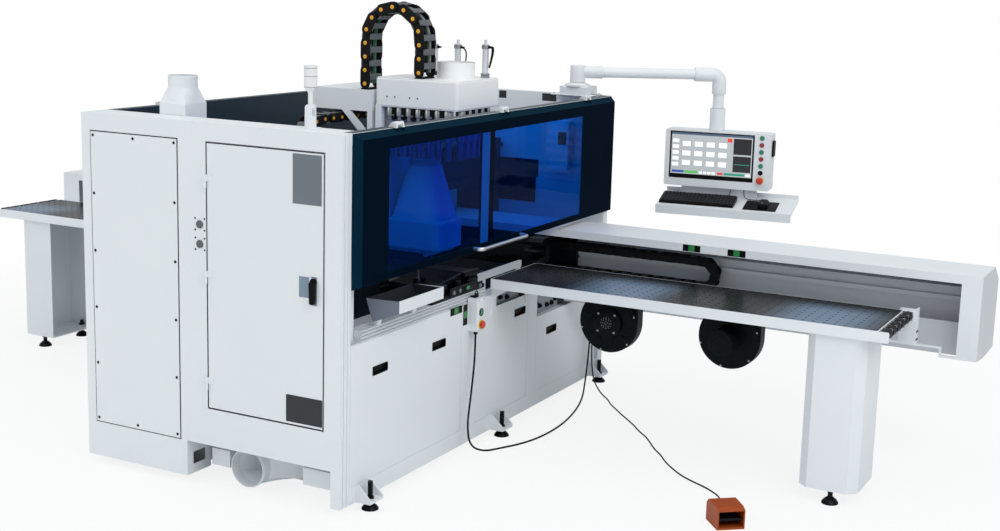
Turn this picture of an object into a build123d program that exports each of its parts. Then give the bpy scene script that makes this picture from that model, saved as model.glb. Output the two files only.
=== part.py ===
"""Six sided drilling machine: enclosure, clamp beam, air tables, drilling heads and control pendant.

Millimetres, +Z up, floor at Z = 0. +X runs out of the enclosure over the infeed table, -Y is the
cabinet side. The pieces are drawn about the centre of the enclosure and moved at the end, so that the
origin is the middle of the machine's bounding box on the floor.
"""
import math
import os

from build123d import *

os.makedirs("parts", exist_ok=True)

# Clearances
seat = 0.3              # between fixed pieces that lie against one another
slide_gap = 0.4         # round a sliding piece
pin_gap = 0.05          # radial, a pin in its bore
sheet = 3.0             # panel sheet

# Enclosure
floor_gap = 40.0        # plinth above the floor
enclosure_length = 1500.0
enclosure_width = 2880.0
wall_height = 1700.0
cabinet_depth = 175.0   # near side wall is a cabinet
column_depth = 77.0     # front column of the cabinet, along Y
column_width = 50.0
wall_depth = 60.0       # far and rear walls are closed boxes
front_x = enclosure_length / 2
rear_x = -front_x
near_y = -enclosure_width / 2
far_y = enclosure_width / 2
plinth_z = floor_gap
top_z = plinth_z + wall_height
cabinet_back = near_y + cabinet_depth
far_inner = far_y - wall_depth
box_x = front_x - column_width

# Base
bar = 80.0              # frame bars
plinth_height = 82.0
base_height = 740.0
low_base_height = 515.0  # under the clamp beam
top_bar = 60.0
panel_depth = 22.0
plinth_top = plinth_z + plinth_height
base_top = plinth_z + base_height
low_top = plinth_z + low_base_height
frame_x = front_x - panel_depth
end_post_y = 400.0      # post beside the clamp beam
end_post_width = 110.0
low_y = end_post_y + end_post_width
anchor_width = 113.0
anchor_reach = 80.0
anchor_plate = 12.0
bolt_r = 12.0
pad_r = 40.0
pad_height = 30.0

# Tables
table_top = base_top + 98.0
deck = 6.0
apron = 52.0
infeed_length = 2063.0
infeed_gap = 18.0
infeed_near = -84.0
infeed_width = 521.0
outfeed_length = 2110.0
outfeed_gap = 40.0
outfeed_near = 10.0
outfeed_width = 510.0
roller_r = 25.0
roller_rise = 3.0       # rollers stand over the deck
roller_bay = 53.0
roller_axle_r = 8.0

# Window door
door_gap = 2.0
door_depth = 38.0
door_bevel = 27.0
door_sheet = 4.0
door_bottom = table_top + 162.0
door_top = top_z - 3.0
door_near = near_y + column_depth + 1.0
door_far = far_y - 18.0
pane_near = near_y + 320.0
pane_far = far_y - 490.0
pane_low = door_bottom + 50.0
pane_high = door_top - 82.0
pane = 6.0
pane_lap = 18.0
hinge_pin_r = 5.0
hinge_x = front_x + 7.0
hinge_z = top_z + 15.0

# Clamp beam
beam_start = -3005.0
beam_end = 3093.0
beam_lip_y = far_inner - 670.0
beam_back_y = far_inner - 190.0
beam_fold_y = beam_back_y - 135.0
beam_low = low_top + 25.0
beam_high = door_bottom - 10.0
beam_sheet = 4.0
lip_height = 43.0

# Bridge and heads
bridge_x0 = -230.0
bridge_x1 = 30.0
bridge_low = table_top + 302.0
bridge_high = bridge_low + 260.0
rail_width = 25.0
rail_height = 18.0
head_near = -177.0
head_far = 273.0
arm_low = top_z - 30.0
arm_high = arm_low + 113.0
cover_x1 = 600.0
cover_low = arm_low + 41.0
cover_high = cover_low + 145.0

# Pendant
arm_pivot = (front_x - 173.0, far_y - 126.0)
arm_length = 863.0
arm_angle = 32.9
arm_z = top_z + 140.0
tube_r = 30.5
case_turn = 8.0
case_high = arm_z - 335.0
case_low = case_high - 343.0

nodes = {}


def block(x0, x1, y0, y1, z0, z1):
    """Rectangular bar between two corners."""
    return Pos((x0 + x1) / 2, (y0 + y1) / 2, (z0 + z1) / 2) * Box(x1 - x0, y1 - y0, z1 - z0)


def prism_x(points, x0, x1):
    """Outline of (y, z) points drawn out along X."""
    return extrude(Plane.YZ.offset(x0) * make_face(Polyline(*points, close=True)), amount=x1 - x0,
                   dir=(1, 0, 0))


def prism_y(points, y0, y1):
    """Outline of (x, z) points drawn out along Y."""
    return extrude(Plane.XZ.offset(-y0) * make_face(Polyline(*points, close=True)), amount=y1 - y0,
                   dir=(0, 1, 0))


def prism_z(points, z0, z1):
    """Outline of (x, y) points drawn out along Z."""
    return extrude(Plane.XY.offset(z0) * make_face(Polyline(*points, close=True)), amount=z1 - z0,
                   dir=(0, 0, 1))


def rod_x(y, z, r, x0, x1):
    """Round bar along X."""
    return Pos((x0 + x1) / 2, y, z) * Rot(0, 90, 0) * Cylinder(r, x1 - x0)


def rod_y(x, z, r, y0, y1):
    """Round bar along Y."""
    return Pos(x, (y0 + y1) / 2, z) * Rot(90, 0, 0) * Cylinder(r, y1 - y0)


def rod_z(x, y, r, z0, z1):
    """Round bar along Z."""
    return Pos(x, y, (z0 + z1) / 2) * Cylinder(r, z1 - z0)


def keep(node, *pieces):
    """Put the solids of one named piece by."""
    nodes[node] = [s for p in pieces for s in p.solids()]


# Base frame: plinth, posts, top ring, lower beam and anchor brackets in one weldment
base = block(front_x - bar, front_x, near_y + column_depth + seat, far_inner - seat, plinth_z, plinth_top)
base += block(rear_x, rear_x + bar, cabinet_back + seat, far_inner - seat, plinth_z, plinth_top)
cross_y = cabinet_back + 65.0
base += block(rear_x, front_x, cross_y, cross_y + bar, plinth_z, plinth_top)
base += block(rear_x, front_x, far_inner - seat - bar, far_inner - seat, plinth_z, plinth_top)
base += block(rear_x, front_x, end_post_y, low_y, plinth_z, plinth_top)
for x0, x1 in ((-56.0, 52.0), (477.0, front_x - 101.0)):
    base += block(x0, x1, near_y + 100.0, far_inner - seat, plinth_z + 42.0, plinth_top + 42.0)
post_near = cabinet_back + seat
for side in (-1, 1):
    x0, x1 = sorted((side * (frame_x - bar), side * frame_x))
    for y0 in (post_near, -382.0):
        base += block(x0, x1, y0, y0 + bar, plinth_top - 1.0, base_top)
    base += block(x0, x1, far_inner - seat - bar, far_inner - seat, plinth_top - 1.0, low_top)
    base += block(x0, x1, post_near, low_y, base_top - top_bar, base_top)
    base += block(x0, x1, low_y - 1.0, far_inner - seat, low_top - top_bar, low_top)
    base += block(x0, x1, beam_lip_y + 260.0, beam_back_y, low_top - 1.0, beam_low)
    e0, e1 = sorted((side * (front_x - bar), side * front_x))
    base += block(e0, e1, end_post_y, low_y, plinth_z, base_top)
base += block(-frame_x, frame_x, post_near, post_near + bar, base_top - top_bar, base_top)
base += block(-frame_x, frame_x, end_post_y, low_y, base_top - top_bar, base_top)
base += block(-frame_x, frame_x, far_inner - seat - bar, far_inner - seat, low_top - top_bar, low_top)
lower_low = plinth_top + 178.0
lower_high = lower_low + 180.0
lower_near = cross_y
lower_far = low_y - 10.0
base += block(bridge_x0, bridge_x1, lower_near, lower_far, lower_low, lower_high)
base -= block(bridge_x0 + 10.0, bridge_x1 - 10.0, lower_near - 1.0, lower_far + 1.0,
              lower_low + 10.0, lower_high - 10.0)
for y0 in (lower_near, lower_far - bar):
    base += block(bridge_x0, bridge_x1, y0, y0 + bar, plinth_top - 1.0, lower_low + 1.0)
anchor_far = far_inner - 70.0
anchor_places = [(1, near_y + 185.0), (1, 37.0), (1, anchor_far)]
anchor_places += [(-1, cabinet_back + 75.0), (-1, 37.0), (-1, anchor_far)]
for side, y in anchor_places:
    y0 = y - anchor_width / 2
    a0, a1 = sorted((side * (front_x - 1.0), side * (front_x + anchor_reach)))
    base += block(a0, a1, y0, y0 + anchor_width, plinth_z, plinth_z + anchor_plate)
    rib = [
        (side * (front_x - 1.0), plinth_z),
        (side * (front_x + anchor_reach), plinth_z),
        (side * (front_x + anchor_reach), plinth_z + anchor_plate + 6.0),
        (side * (front_x + 14.0), plinth_top),
        (side * (front_x - 1.0), plinth_top),
    ]
    for r0 in (y0, y0 + anchor_width - 10.0):
        base += prism_y(rib, r0, r0 + 10.0)
    bolt_x = side * (front_x + anchor_reach * 0.55)
    base -= rod_z(bolt_x, y, bolt_r + seat, plinth_z - 1.0, plinth_z + anchor_plate + 1.0)
lower_rails = [
    block(bridge_x1, bridge_x1 + rail_height, lower_near, lower_far, z - rail_width / 2,
          z + rail_width / 2)
    for z in (lower_low + 45.0, lower_high - 45.0)
]
keep("base_frame", base, *lower_rails)

# Front panels: folded trays with recessed pulls
pull_width = 140.0
pull_height = 87.0
pull_depth = 18.0


def front_panel(y0, y1, z1, pulls):
    """Folded sheet tray facing +X, with a recess for each pull at (y, z)."""
    tray = block(frame_x, front_x, y0, y1, plinth_top, z1)
    tray = fillet(tray.faces().sort_by(Axis.X)[-1].edges(), 3.0)
    tray -= block(frame_x - 1.0, front_x - sheet, y0 + sheet, y1 - sheet, plinth_top + sheet, z1 - sheet)
    for y, z in pulls:
        cup = block(front_x - pull_depth, front_x, y, y + pull_width, z, z + pull_height)
        hollow = prism_x(
            [(y + 4, z + 4), (y + pull_width - 4, z + 4), (y + pull_width - 4, z + pull_height - 4),
             (y + 4, z + pull_height - 4)],
            front_x - pull_depth + 2.0, front_x + 1.0)
        tray = tray + cup - hollow
    return tray


panel_split = -342.0
pull_z = base_top - 196.0
panel_left = front_panel(
    near_y + column_depth + 4.0, panel_split - 2.0, base_top,
    [(near_y + 256.0, pull_z), (panel_split - 304.0, pull_z)])
panel_middle = front_panel(panel_split + 2.0, end_post_y - 2.0, base_top, [(end_post_y - 170.0, pull_z)])
notch_y = 14.0
notch_depth = 70.0
panel_middle -= block(frame_x - 1.0, front_x + 1.0, notch_y, end_post_y, base_top - notch_depth,
                      base_top + 1.0)
panel_right = front_panel(low_y + 2.0, far_inner - 130.0, low_top, [(low_y + 123.0, low_top - 151.0)])
keep("front_panels", panel_left, panel_middle, panel_right)

# Levelling feet: a bolt with a nut and a domed pad, under the base and under both tables


def levelling_foot(x, y, pad, plate_low, plate, reach):
    """Domed pad of the given height, with a bolt up through a plate and a nut on top of it."""
    dome = [(0.0, 0.0), (pad_r, 0.0), (pad_r, pad * 0.2), (pad_r * 0.8, pad * 0.6), (pad_r * 0.45, pad),
            (0.0, pad)]
    foot = Pos(x, y, 0) * revolve(Plane.XZ * make_face(Polyline(*dome, close=True)), Axis.Z)
    foot += rod_z(x, y, bolt_r, pad - 1.0, plate_low + plate + reach)
    for z0 in (plate_low - nut_height, plate_low + plate):
        foot += extrude(Plane.XY.offset(z0) * Pos(x, y) * RegularPolygon(20.0, 6), amount=nut_height)
    return foot


nut_height = 8.0
feet = []
for side, y in anchor_places:
    x = side * (front_x + anchor_reach * 0.55)
    feet.append(levelling_foot(x, y, pad_height * 0.9, plinth_z, anchor_plate, plinth_height))
leg_low = 68.0
leg_plate = 8.0
infeed_leg_x1 = front_x + infeed_gap + infeed_length - 106.0
infeed_leg_x0 = infeed_leg_x1 - 282.0
infeed_leg_y0 = infeed_near + 24.0
infeed_leg_y1 = infeed_leg_y0 + 312.0
outfeed_leg_x0 = rear_x - outfeed_gap - outfeed_length + 195.0
outfeed_leg_x1 = outfeed_leg_x0 + 225.0
outfeed_leg_y0 = outfeed_near + 40.0
outfeed_leg_y1 = outfeed_leg_y0 + 390.0
table_foot_places = [
    (infeed_leg_x1 - 126.0, infeed_leg_y0 + 34.0),
    (infeed_leg_x1 - 126.0, infeed_leg_y1 - 50.0),
    (outfeed_leg_x1 - 100.0, outfeed_leg_y0 + 30.0),
    (outfeed_leg_x1 - 100.0, outfeed_leg_y1 - 30.0),
]
for x, y in table_foot_places:
    feet.append(levelling_foot(x, y, pad_height, leg_low, leg_plate, 30.0))
keep("levelling_feet", *feet)

# Cabinet shell: the near side wall, stepped over the dust duct, with its front column
cab_width = box_x - rear_x
block_x = rear_x + cab_width * 0.431
cut_z = plinth_z + 175.0
cab_door_x1 = box_x - 40.0
cab_door_x0 = cab_door_x1 - cab_width * 0.4517
cab_door_z0 = plinth_z + 357.0
cab_door_z1 = top_z - 87.0
cover_plate_x0 = rear_x + 60.0
cover_plate_x1 = rear_x + cab_width * 0.4035
cover_plate_z0 = plinth_z + 180.0
cab_gap = 3.0


def stepped(t):
    """Outline of the cabinet seen from the near side, drawn in by t."""
    return [
        (rear_x + t, plinth_z + t),
        (block_x - t, plinth_z + t),
        (block_x - t, cut_z + t),
        (box_x - t, cut_z + t),
        (box_x - t, top_z - t),
        (rear_x + t, top_z - t),
    ]


shell = prism_y(stepped(0.0), near_y, cabinet_back)
shell -= prism_y(stepped(sheet), near_y + sheet, cabinet_back - sheet)
shell -= block(cab_door_x0 - cab_gap, cab_door_x1 + cab_gap, near_y - 1.0, near_y + sheet + 1.0,
               cab_door_z0 - cab_gap, cab_door_z1 + cab_gap)
shell -= block(cover_plate_x0 + 30.0, cover_plate_x1 - 30.0, near_y - 1.0, near_y + sheet + 1.0,
               cover_plate_z0 + 30.0, cab_door_z1 - 30.0)
shell -= block(block_x - sheet - 1.0, block_x + 1.0, near_y + 45.0, near_y + 135.0, plinth_z + 45.0,
               plinth_z + 105.0)
column = block(box_x - 1.0, front_x, near_y, near_y + column_depth, plinth_z, top_z)
for y in (near_y + 20.0, near_y + 48.0):
    column -= block(front_x - 5.0, front_x + 1.0, y, y + 8.0, plinth_z - 1.0, top_z + 1.0)
shell += column
cab_hinge_x = cab_door_x0 - cab_gap / 2
cab_hinge_y = near_y - 7.0
cab_barrel_r = 6.5
cab_pin_r = 3.0
cab_barrel = 30.0
cab_hinge_zs = (cab_door_z0 + 120.0, (cab_door_z0 + cab_door_z1) / 2, cab_door_z1 - 180.0)
for z in cab_hinge_zs:
    shell += rod_z(cab_hinge_x, cab_hinge_y, cab_barrel_r, z - cab_barrel, z)
    shell += rod_z(cab_hinge_x, cab_hinge_y, cab_pin_r, z - 1.0, z + cab_barrel - 4.0)
    shell += block(cab_hinge_x - 34.0, cab_hinge_x - cab_gap, near_y - 4.0, near_y, z - cab_barrel, z)
    shell += block(cab_hinge_x - 8.0, cab_hinge_x - cab_gap, cab_hinge_y, near_y, z - cab_barrel, z)
# Cover plate screwed over the rear part of the cabinet
cover_plate = block(cover_plate_x0, cover_plate_x1, near_y - sheet, near_y, cover_plate_z0, cab_door_z1)

# Cabinet door: folded tray on lift-off hinges, with a turning lock handle
door_fold = 22.0
lock_x = cab_door_x1 - 54.0
lock_z = (cab_door_z0 + cab_door_z1) / 2 + 51.0
lock_r = 10.0
leaf = block(cab_door_x0, cab_door_x1, near_y, near_y + door_fold, cab_door_z0, cab_door_z1)
leaf -= block(cab_door_x0 + 2.0, cab_door_x1 - 2.0, near_y + 2.0, near_y + door_fold + 1.0,
              cab_door_z0 + 2.0, cab_door_z1 - 2.0)
leaf += rod_y(lock_x, lock_z, lock_r + 8.0, near_y + 1.0, near_y + 14.0)
leaf -= rod_y(lock_x, lock_z, lock_r + pin_gap, near_y - 1.0, near_y + 15.0)
for z in cab_hinge_zs:
    z0 = z + 1.0
    leaf += rod_z(cab_hinge_x, cab_hinge_y, cab_barrel_r, z0, z0 + cab_barrel)
    leaf += block(cab_hinge_x + cab_gap, cab_hinge_x + 34.0, near_y - 4.0, near_y + 1.0, z0,
                  z0 + cab_barrel)
    leaf += block(cab_hinge_x + cab_gap, cab_hinge_x + 8.0, cab_hinge_y, near_y, z0, z0 + cab_barrel)
    leaf -= rod_z(cab_hinge_x, cab_hinge_y, cab_pin_r + pin_gap, z0 - 1.0, z0 + cab_barrel + 1.0)
keep("cabinet_door", leaf)

lever = rod_y(lock_x, lock_z, 16.0, near_y - 12.0, near_y - 1.0)
lever += rod_y(lock_x, lock_z, lock_r, near_y - 2.0, near_y + 18.0)
grip = [(lock_x - 15.0, lock_z), (lock_x - 12.0, lock_z - 100.0), (lock_x + 12.0, lock_z - 100.0),
        (lock_x + 15.0, lock_z)]
lever += fillet(prism_y(grip, near_y - 22.0, near_y - 6.0).edges().filter_by(Axis.Y), 6.0)
lever += block(lock_x - 32.0, lock_x + 10.0, near_y + 14.5, near_y + 18.0, lock_z - 7.0, lock_z + 7.0)
keep("cabinet_lock", lever)

# Gear inside the cabinet: mounting plate, wiring trunks, drives and a row of breakers
plate_y = cabinet_back - sheet - 12.0
plate_x0 = cab_door_x0 + 35.0
plate_x1 = cab_door_x1 - 25.0
plate_z0 = cab_door_z0 + 30.0
plate_z1 = cab_door_z1 - 30.0
gear = [block(plate_x0, plate_x1, plate_y - sheet, plate_y, plate_z0, plate_z1)]
for x in (plate_x0 + 40.0, plate_x1 - 40.0):
    for z in (plate_z0 + 40.0, plate_z1 - 40.0):
        gear[0] += rod_y(x, z, 8.0, plate_y - 1.0, cabinet_back - sheet)
face_y = plate_y - sheet
row = (plate_z1 - plate_z0) / 12    # trunks and gear share the plate's height in twelfths
for k in (0.2, 3.9, 7.8, 11.3):
    z = plate_z0 + k * row
    gear.append(block(plate_x0 + 20.0, plate_x1 - 20.0, face_y - 60.0, face_y, z, z + row * 0.5))
drive_pitch = (plate_x1 - plate_x0 - 80.0) / 5
for i in range(5):
    x = plate_x0 + 45.0 + i * drive_pitch
    gear.append(block(x, x + drive_pitch - 22.0, face_y - 105.0, face_y, plate_z0 + row * 1.2,
                      plate_z0 + row * 3.3))
    gear.append(block(x, x + drive_pitch - 12.0, face_y - 75.0, face_y, plate_z0 + row * 5.2,
                      plate_z0 + row * 6.4))
breaker_pitch = (plate_x1 - plate_x0 - 80.0) / 3
for i in range(3):
    x = plate_x0 + 45.0 + i * breaker_pitch
    gear.append(block(x, x + breaker_pitch - 20.0, face_y - 85.0, face_y, plate_z0 + row * 8.8,
                      plate_z0 + row * 10.2))
keep("electrical_gear", *gear)

# Enclosure walls: far wall with two notches in its top edge, rear wall, header and hinge pins
far_wall = block(rear_x, front_x, far_inner, far_y, plinth_z, top_z)
far_wall -= block(rear_x + sheet, front_x - sheet, far_inner + sheet, far_y - sheet, plinth_z + sheet,
                  top_z - sheet)
far_wall += block(0.0, 420.0, far_inner + 1.0, far_y - 1.0, top_z - 60.0, top_z - 1.0)
for x0, x1 in ((12.0, 63.0), (311.0, 408.0)):
    far_wall -= block(x0, x1, far_inner - 1.0, far_y + 1.0, top_z - 52.0, top_z + 1.0)
rear_depth = 50.0
walls = far_wall
walls += block(rear_x, rear_x + rear_depth, cabinet_back + seat, far_inner + 1.0, door_bottom, top_z)
walls -= block(rear_x + sheet, rear_x + rear_depth - sheet, cabinet_back + 10.0, far_inner - 10.0,
               door_bottom + sheet, top_z - sheet)
for y in (cabinet_back + 350.0, far_y - 740.0):
    walls += block(rear_x, rear_x + rear_depth, y, y + 120.0, top_z - 1.0, top_z + 14.0)
walls += block(rear_x, rear_x + sheet, cabinet_back + seat, end_post_y - seat, plinth_top + seat,
               base_top)
walls += block(rear_x, rear_x + sheet, low_y + seat, far_inner + 1.0, plinth_top + seat,
               low_top - top_bar - seat)
walls += block(rear_x, rear_x + sheet, cabinet_back + seat, cabinet_back + 60.0, base_top - 1.0,
               door_bottom + 1.0)
header_z = top_z - 50.0
walls += block(box_x, front_x, near_y + column_depth + seat, far_inner + 1.0, header_z, top_z)
hinge_ys = (near_y + 440.0, 30.0, far_y - 380.0)
lug_width = 40.0
ear_width = 14.0
for y in hinge_ys:
    lug = [(hinge_x - 42.0, top_z - 1.0), (hinge_x - 9.0, top_z - 1.0), (hinge_x, hinge_z - 9.0),
           (hinge_x, hinge_z + 9.0), (hinge_x - 20.0, hinge_z + 9.0)]
    walls += prism_y(lug, y - lug_width / 2, y + lug_width / 2)
    walls += rod_y(hinge_x, hinge_z, 9.0, y - lug_width / 2, y + lug_width / 2)
    reach = lug_width / 2 + ear_width + 3.0
    walls += rod_y(hinge_x, hinge_z, hinge_pin_r, y - reach, y + reach)
keep("enclosure_walls", walls)

# Window door: bevelled hollow frame with a stiffener behind the pane, hung from the header
door_back = front_x + door_gap
door_front = door_back + door_depth


def door_form(t, x0, x1):
    """Bevelled door outline drawn in by t, lofted from its back edge to its front face."""
    rects = []
    for x, b in ((x0, 0.0), (x1, door_bevel)):
        low = door_bottom + t + b * 0.6
        high = door_top - t - b
        near = door_near + t + b
        far = door_far - t - b
        middle = Pos((near + far) / 2, (low + high) / 2)
        rects.append(Plane.YZ.offset(x) * middle * Rectangle(far - near, high - low))
    return loft(rects)


window = door_form(0.0, door_back, door_front)
window -= door_form(door_sheet, door_back - 0.01, door_front - door_sheet)
window -= block(door_front - door_sheet - 1.0, door_front + 1.0, pane_near, pane_far, pane_low, pane_high)
pane_x = door_front - door_sheet
window += block(door_back, pane_x - pane, -208.0, -101.0, door_bottom + 1.0, door_top - 1.0) & \
    door_form(1.0, door_back, door_front)
for y in hinge_ys:
    for s in (-1, 1):
        e0, e1 = sorted((y + s * (lug_width / 2 + 1.0), y + s * (lug_width / 2 + 1.0 + ear_width)))
        ear = rod_y(hinge_x, hinge_z, 11.0, e0, e1)
        ear += prism_y([(hinge_x - 4.0, hinge_z), (door_back + 0.5, door_top - 4.0),
                        (door_back + 22.0, door_top - 20.0), (hinge_x + 11.0, hinge_z)], e0, e1)
        ear -= rod_y(hinge_x, hinge_z, hinge_pin_r + pin_gap, e0 - 1.0, e1 + 1.0)
        window += ear
keep("window_frame", window)
keep("window_glass", block(pane_x - pane, pane_x, pane_near - pane_lap, pane_far + pane_lap,
                           pane_low - pane_lap * 0.8, pane_high + pane_lap))

handle_z = door_bottom + 36.0
handle_reach = 50.0
handle_y0 = -315.0
handle_y1 = handle_y0 + 507.0
handle_r = 10.0
handle_path = FilletPolyline(
    (door_front, handle_y0, handle_z), (door_front + handle_reach, handle_y0, handle_z),
    (door_front + handle_reach, handle_y1, handle_z), (door_front, handle_y1, handle_z), radius=28.0)
keep("window_handle", sweep(Plane(handle_path @ 0, z_dir=handle_path % 0) * Circle(handle_r),
                            path=handle_path))

# Dust ports: square riser with a round neck, and a round-to-square duct low on the near side
riser = 156.0
riser_x = -341.0
riser_y = cabinet_back + 4.0 + riser / 2
riser_top = top_z + 54.0
neck_r = 70.0
neck_low = riser_top + 74.0
neck_top = neck_low + 57.0
duct_sheet = 2.0


def riser_form(t, extra):
    """Square riser, taper and round neck drawn in by t."""
    square = riser - 2 * t
    foot = extrude(Plane.XY.offset(base_top - extra) * Pos(riser_x, riser_y) * Rectangle(square, square),
                   amount=riser_top - base_top + extra)
    taper = loft([Plane.XY.offset(riser_top) * Pos(riser_x, riser_y) * Rectangle(square, square),
                  Plane.XY.offset(neck_low) * Pos(riser_x, riser_y) * Circle(neck_r - t)])
    return foot + taper + rod_z(riser_x, riser_y, neck_r - t, neck_low - 0.01, neck_top + extra)


stub = riser_form(0.0, 0.0) - riser_form(duct_sheet, 1.0)
duct_x = 192.0
duct_z = plinth_z + 80.0
duct_r = 92.0
duct_y = near_y + 50.0
duct_end = cross_y - 5.0
mouth = (295.0, 135.0, 290.0, 150.0)


def duct_form(t, extra):
    """Round inlet lofted to a rectangular mouth, drawn in by t."""
    inlet = rod_y(duct_x, duct_z, duct_r - t, duct_y - extra, duct_y + 60.01)
    mx, mz, mw, mh = mouth
    faces = [Plane.XZ.offset(-(duct_y + 60.0)) * Pos(duct_x, duct_z) * Circle(duct_r - t),
             Plane.XZ.offset(-duct_end) * Pos(mx, mz) * Rectangle(mw - 2 * t, mh - 2 * t)]
    out = inlet + loft(faces)
    return out + block(mx - mw / 2 + t, mx + mw / 2 - t, duct_end - 0.01, duct_end + extra,
                       mz - mh / 2 + t, mz + mh / 2 - t) if extra else out


flange = block(mouth[0] - 170.0, mouth[0] + 165.0, duct_end, cross_y, mouth[1] - 85.0, mouth[1] + 95.0)
lower_duct = duct_form(0.0, 0.0) + flange - duct_form(duct_sheet, 6.0)
keep("dust_ports", stub, lower_duct)

# Signal tower: foot with a fork on top of the cabinet, and a folding mast with its lamp
tower_x = 520.0
tower_y = near_y + 90.0
tower_pivot = top_z + 95.0
tower_pin_r = 5.0
fork = block(tower_x - 35.0, tower_x + 35.0, tower_y - 35.0, tower_y + 35.0, top_z, top_z + 8.0)
fork += rod_z(tower_x, tower_y, 26.0, top_z + 7.0, top_z + 60.0)
for s in (-1, 1):
    e0, e1 = sorted((tower_y + s * 13.0, tower_y + s * 21.0))
    fork += block(tower_x - 16.0, tower_x + 16.0, e0, e1, top_z + 50.0, tower_pivot)
    fork += rod_y(tower_x, tower_pivot, 16.0, e0, e1)
fork += rod_y(tower_x, tower_pivot, tower_pin_r, tower_y - 21.0, tower_y + 21.0)
keep("cabinet_shell", shell, cover_plate, fork)
mast = rod_y(tower_x, tower_pivot, 15.0, tower_y - 12.0, tower_y + 12.0)
mast += rod_z(tower_x, tower_y, 11.0, tower_pivot, tower_pivot + 70.0)
mast += Pos(tower_x, tower_y, tower_pivot + 78.0) * Cone(11.0, 29.0, 24.0)
mast += rod_z(tower_x, tower_y, 29.0, tower_pivot + 90.0, tower_pivot + 186.0)
mast -= rod_y(tower_x, tower_pivot, tower_pin_r + pin_gap, tower_y - 13.0, tower_y + 13.0)
keep("signal_tower", mast)

# Bridge: hollow beam across the enclosure on two legs, with two guide rails on its front
bridge_near = cabinet_back + seat
bridge_far = far_inner - seat
bridge = block(bridge_x0, bridge_x1, bridge_near, bridge_far, bridge_low, bridge_high)
bridge -= block(bridge_x0 + 10.0, bridge_x1 - 10.0, bridge_near - 1.0, bridge_far + 1.0,
                bridge_low + 10.0, bridge_high - 10.0)
bridge += block(bridge_x0, bridge_x1, bridge_near, bridge_near + bar, base_top, bridge_low + 1.0)
bridge += block(bridge_x0, bridge_x1, bridge_far - bar, bridge_far, low_top, bridge_low + 1.0)
rail_zs = (bridge_low + 40.0, bridge_high - 40.0)
bridge_rails = [
    block(bridge_x1, bridge_x1 + rail_height, bridge_near, bridge_far, z - rail_width / 2,
          z + rail_width / 2)
    for z in rail_zs
]
keep("bridge_beam", bridge, *bridge_rails)


def runner_x(x, y0, y1, z):
    """Carriage block that wraps a rail standing on a face at x and running along Y."""
    body = block(x + 3.0, x + rail_height + 4.0, y0, y1, z - 30.0, z + 30.0)
    half = rail_width / 2 + slide_gap
    return body - block(x - 1.0, x + rail_height + slide_gap, y0 - 1.0, y1 + 1.0, z - half, z + half)


def runner_z(x, y, z0, z1):
    """Carriage block that wraps a rail standing on a face at x and running along Z."""
    body = block(x + 3.0, x + z_rail_height + 9.0, y - 26.0, y + 26.0, z0, z1)
    half = z_rail_width / 2 + slide_gap
    return body - block(x - 1.0, x + z_rail_height + slide_gap, y - half, y + half, z0 - 1.0, z1 + 1.0)


# Saddle: plate on the bridge rails, arm box over the bridge, gussets and upright rails
z_rail_width = 20.0
z_rail_height = 15.0
saddle_x0 = bridge_x1 + rail_height + 4.0
saddle_x1 = saddle_x0 + 28.0
back_x = saddle_x1 + z_rail_height + 9.0
saddle = block(saddle_x0, saddle_x1, head_near, head_far, bridge_low - 30.0, arm_low + 1.0)
for z in rail_zs:
    for y0 in (head_near + 20.0, head_far - 140.0):
        saddle += runner_x(bridge_x1, y0, y0 + 120.0, z)
arm = block(-300.0, saddle_x1 + 4.0, head_near, head_far, arm_low, arm_high)
arm = fillet(arm.edges().filter_by(Axis.Y).sort_by(Axis.Z)[-2:], 10.0)
arm -= block(-300.0 + sheet, saddle_x0 - 8.0, head_near + sheet, head_far - sheet, arm_low - 1.0,
             arm_high - sheet)
saddle += arm
gusset = [(-110.0, arm_low + 1.0), (-60.0, arm_low + 1.0), (saddle_x0 + 1.0, arm_low - 110.0),
          (saddle_x0 + 1.0, arm_low - 165.0)]
for y0 in (head_near, head_far - 12.0):
    saddle += prism_y(gusset, y0, y0 + 12.0)
chain_foot_x = -200.0
y_fixed = -180.0
y_moving = 47.0
y_bend = -376.0
y_r = (arm_high - bridge_high) / 3.83
y_link = 50.0
y_low = bridge_high + 5.0 + y_link / 2
foot_low = y_low + 2 * y_r + y_link / 2 + seat
saddle += block(chain_foot_x + 8.0, chain_foot_x + 92.0, y_moving - 27.0, y_moving + 27.0, foot_low,
                arm_high - 1.0)
upright_ys = (head_near + 97.0, head_far - 97.0)
for y in upright_ys:
    saddle += block(saddle_x1 - 1.0, saddle_x1 + z_rail_height, y - z_rail_width / 2,
                    y + z_rail_width / 2, bridge_low - 30.0, arm_low - 10.0)
keep("saddle", saddle)

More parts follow.
